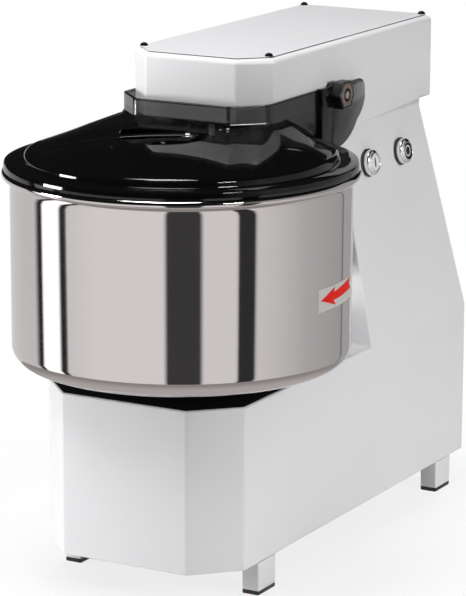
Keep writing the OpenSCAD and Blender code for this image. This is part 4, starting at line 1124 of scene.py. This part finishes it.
class MIXER_OT_stage(bpy.types.Operator):
    """Sets up floor, light, reflecting cards and camera"""
    bl_idname = "mixer.stage"
    bl_label = "Studio"

    def execute(self, context):
        scene = context.scene
        studio = scene.mixer_studio
        self.floor(scene.mixer_finishes.floor)
        self.world(scene, studio.ambient)
        self.lamp("low left softbox", (-2.4, -1.7, 0.5), (0.8, 0.8), 65)
        self.lamp("right softbox", (2.9, -0.1, 1.2), (1.0, 1.0), 50)
        self.lamp("top softbox", (-0.2, -0.3, 2.6), (0.8, 0.8), 33)
        self.lamp("front fill", (-0.3, -0.95, 1.55), (0.5, 0.5), 6.5, glossy=False)
        self.lamp("back fill", (-0.6, 2.6, 0.7), (1.0, 1.0), 18, glossy=False)
        # A small lamp between bowl and column lights the column's front, as the real bowl's gleam does
        self.lamp("throat lamp", (0.092, 0.022, 0.27), (0.02, 0.075), 0.017, glossy=False,
                  aim=(0.1, 0.072, 0.222))
        # A strip beside the camera gives the fine highlights at the foot of the cover's collar
        self.lamp("right strip", (1.92, -1.06, 1.56), (0.5, 0.4), 20, diffuse=False)
        self.ceiling()
        # Reflecting cards round the bowl: angle to the right of the camera and brightness
        stripes = [(-150, 0.75), (-101, 0.8), (-96.5, 0.03), (-93, 0.03), (-92, 1.8), (-77.5, 1.8),
                   (-76.5, 0.03), (-72, 0.03), (-71, 0.9), (-50, 1.0), (-9.5, 1.0), (-8.5, 0.06), (11, 0.06),
                   (12, 0.95), (31.8, 0.95), (32.8, 0.04), (42.8, 0.04), (43.8, 0.88), (58, 0.8), (80, 0.62),
                   (117, 0.48), (120.5, 0.42), (121.2, 0.15), (122.4, 0.15), (123.2, 0.5), (140, 0.42),
                   (178, 0.38)]
        self.ring(studio, "bowl cards", 0, 0.43, stripes)
        self.ring(studio, "right surround", 0.43, 0.72, [(20, 0.02), (50, 0.35), (125, 0.45)])
        self.mat(studio)
        camera = bpy.data.objects.new("camera", bpy.data.cameras.new("camera"))
        scene.collection.objects.link(camera)
        camera.location = studio.camera
        aim = Vector(studio.target) - Vector(studio.camera)
        camera.rotation_euler = aim.to_track_quat("-Z", "Y").to_euler()
        camera.data.sensor_width = 36
        camera.data.lens = studio.lens
        camera.data.shift_x, camera.data.shift_y = studio.shift_x, studio.shift_y
        scene.camera = camera
        scene.view_settings.view_transform = "Standard"
        return {"FINISHED"}

    @staticmethod
    def shown_directly(tree):
        """1 where the camera, a mirror or glass looks at the surface, and 0 for its light on others"""
        path = add_node(tree, "ShaderNodeLightPath").outputs
        total = calc(tree, "MAXIMUM", path["Is Camera Ray"], path["Is Glossy Ray"])
        total = calc(tree, "MAXIMUM", total, path["Is Transmission Ray"])
        # A mirror that throws it onto a matt surface would be light again
        return calc(tree, "MULTIPLY", total, calc(tree, "LESS_THAN", path["Diffuse Depth"], 0.5))

    def floor(self, pale):
        floor = primitive(bpy.ops.mesh.primitive_plane_add, size=40)
        clear_selection()
        floor.name = "studio_floor"
        finish, tree = new_finish("studio floor")
        away = add_node(tree, "ShaderNodeVectorMath", {0: object_place(tree)}, operation="LENGTH")
        away = away.outputs["Value"]
        # Shadows show close to the mixer, and the floor runs out to plain white
        white = add_node(tree, "ShaderNodeEmission", {"Color": (1, 1, 1, 1), "Strength": 1.0})
        fade = remap(tree, away, 0.8, 1.0, 0.2, 0.6, interpolation_type="SMOOTHSTEP")
        # The pale sheet under the mixer ends there, so no light comes in low from further out
        tone = blend(tree, remap(tree, away, 0, 1, 0.62, 0.8), pale, (0.05, 0.05, 0.05))
        matt = add_node(tree, "ShaderNodeBsdfDiffuse", {"Color": tone})
        surface(tree, "ShaderNodeMixShader", 0, {
            0: calc(tree, "MULTIPLY", self.shown_directly(tree), fade), 1: matt.outputs["BSDF"],
            2: white.outputs["Emission"]})
        floor.data.materials.append(finish)

    def world(self, scene, ambient):
        scene.world = bpy.data.worlds.new("studio")
        scene.world.use_nodes = True
        tree = scene.world.node_tree
        tree.nodes.clear()
        # Light from above; the walls of the studio give little
        place = add_node(tree, "ShaderNodeTexCoord").outputs["Generated"]
        sky = remap(tree, coordinates(tree, place)["Z"], 0.02, ambient, 0.25, 0.5)
        light = add_node(tree, "ShaderNodeBackground", {
            "Strength": calc(tree, "MAXIMUM", self.shown_directly(tree), sky), "Color": (1, 1, 1, 1)})
        add_node(tree, "ShaderNodeOutputWorld", {"Surface": light.outputs["Background"]})

    @staticmethod
    def lamp(name, place, size, power, diffuse=True, glossy=True, aim=(0, 0, 0.3)):
        light = bpy.data.lights.new(name, "AREA")
        light.shape = "RECTANGLE"
        light.size, light.size_y = size
        light.energy = power
        lamp = bpy.data.objects.new(name, light)
        bpy.context.scene.collection.objects.link(lamp)
        lamp.location = place
        lamp.visible_camera = False
        lamp.visible_diffuse, lamp.visible_glossy = diffuse, glossy
        lamp.rotation_euler = (Vector(aim) - lamp.location).to_track_quat("-Z", "Y").to_euler()

    def ceiling(self):
        """The studio's dark ceiling, seen in reflections alone"""
        dome = primitive(bpy.ops.mesh.primitive_uv_sphere_add, segments=32, ring_count=16, radius=7)
        halve((0, 0, 0.2), (0, 0, 1), clear_inner=True)
        tree = self.reflected(dome, "dark ceiling")
        surface(tree, "ShaderNodeEmission", "Emission", {"Color": (1, 1, 1, 1), "Strength": 0.01})

    def mat(self, studio):
        """A grey mat round the mixer's foot, seen in reflections alone"""
        mat = primitive(bpy.ops.mesh.primitive_circle_add, vertices=64, radius=studio.cards,
                        fill_type="NGON", location=(0, AXIS_Y, 1 * MM))
        tree = self.reflected(mat, "grey mat")
        # Paler under the bowl, where it would take up the white of the base
        away = add_node(tree, "ShaderNodeVectorMath", {0: object_place(tree), 1: (0, AXIS_Y, 0)},
                        operation="DISTANCE").outputs["Value"]
        level = remap(tree, away, 1.5, 0.95, 0.28, 0.48)
        surface(tree, "ShaderNodeEmission", "Emission", {
            "Color": (0.4, 0.388, 0.376, 1),
            "Strength": calc(tree, "MULTIPLY", self.shown_directly(tree), level)})

    def ring(self, studio, name, low, high, stops):
        """A curved card round the bowl whose brightness changes along it"""
        to_camera = Vector(studio.camera) - Vector((0, AXIS_Y, 0))
        facing_camera = math.atan2(to_camera.y, to_camera.x)
        start, end, reach = stops[0][0], stops[-1][0], studio.cards

        def bent(at):
            a = facing_camera + math.radians(start + (at.x + 0.5) * (end - start))
            return (reach * math.cos(a), AXIS_Y + reach * math.sin(a), low + (at.y + 0.5) * (high - low))

        card = primitive(bpy.ops.mesh.primitive_grid_add, x_subdivisions=110, y_subdivisions=1, size=1,
                         calc_uvs=True)
        reshape(card, bent)
        tree = self.reflected(card, name)
        place = add_node(tree, "ShaderNodeTexCoord").outputs["UV"]
        ramp = add_node(tree, "ShaderNodeValToRGB", {"Fac": coordinates(tree, place)["X"]})
        steps = ramp.color_ramp.elements
        while len(steps) < len(stops):
            steps.new(1.0)
        for step, (angle, level) in zip(steps, stops):
            step.position = (angle - start) / (end - start)
            step.color = (level, level, level, 1)
        surface(tree, "ShaderNodeEmission", "Emission", {
            "Color": ramp.outputs["Color"], "Strength": self.shown_directly(tree)})

    @staticmethod
    def reflected(card, name):
        """Makes a stage piece that shows in glossy reflections and nowhere else, and returns its node tree"""
        clear_selection()
        card.name = name.replace(" ", "_")
        for way in ("camera", "diffuse", "transmission", "volume_scatter", "shadow"):
            setattr(card, f"visible_{way}", False)
        finish, tree = new_finish(name)
        card.data.materials.append(finish)
        return tree


class MIXER_PT_panel(bpy.types.Panel):
    """Lists the mixer's steps"""
    bl_idname = "MIXER_PT_panel"
    bl_label = "Spiral dough mixer"
    bl_space_type = "VIEW_3D"
    bl_region_type = "UI"
    bl_category = "Mixer"

    def draw(self, context):
        for step in STEPS:
            self.layout.operator(step.bl_idname)


SETTINGS = {
    "mixer_body": BodySizes, "mixer_bowl": BowlSizes, "mixer_lid": LidSizes,
    "mixer_details": DetailSizes, "mixer_finishes": Finishes, "mixer_studio": StudioSettings,
}
STEPS = (
    MIXER_OT_finishes, MIXER_OT_stage, MIXER_OT_body, MIXER_OT_covers, MIXER_OT_legs, MIXER_OT_bowl,
    MIXER_OT_label, MIXER_OT_lid, MIXER_OT_knobs, MIXER_OT_buttons, MIXER_OT_tools,
)
CLASSES = (*SETTINGS.values(), *STEPS, MIXER_PT_panel)


def register():
    for made in CLASSES:
        bpy.utils.register_class(made)
    for name, group in SETTINGS.items():
        setattr(bpy.types.Scene, name, PointerProperty(type=group))


def unregister():
    for name in SETTINGS:
        delattr(bpy.types.Scene, name)
    for made in reversed(CLASSES):
        bpy.utils.unregister_class(made)


def main():
    register()
    for step in STEPS:
        group, name = step.bl_idname.split(".")
        getattr(getattr(bpy.ops, group), name)()
    clear_selection()


if __name__ == "__main__":
    main()
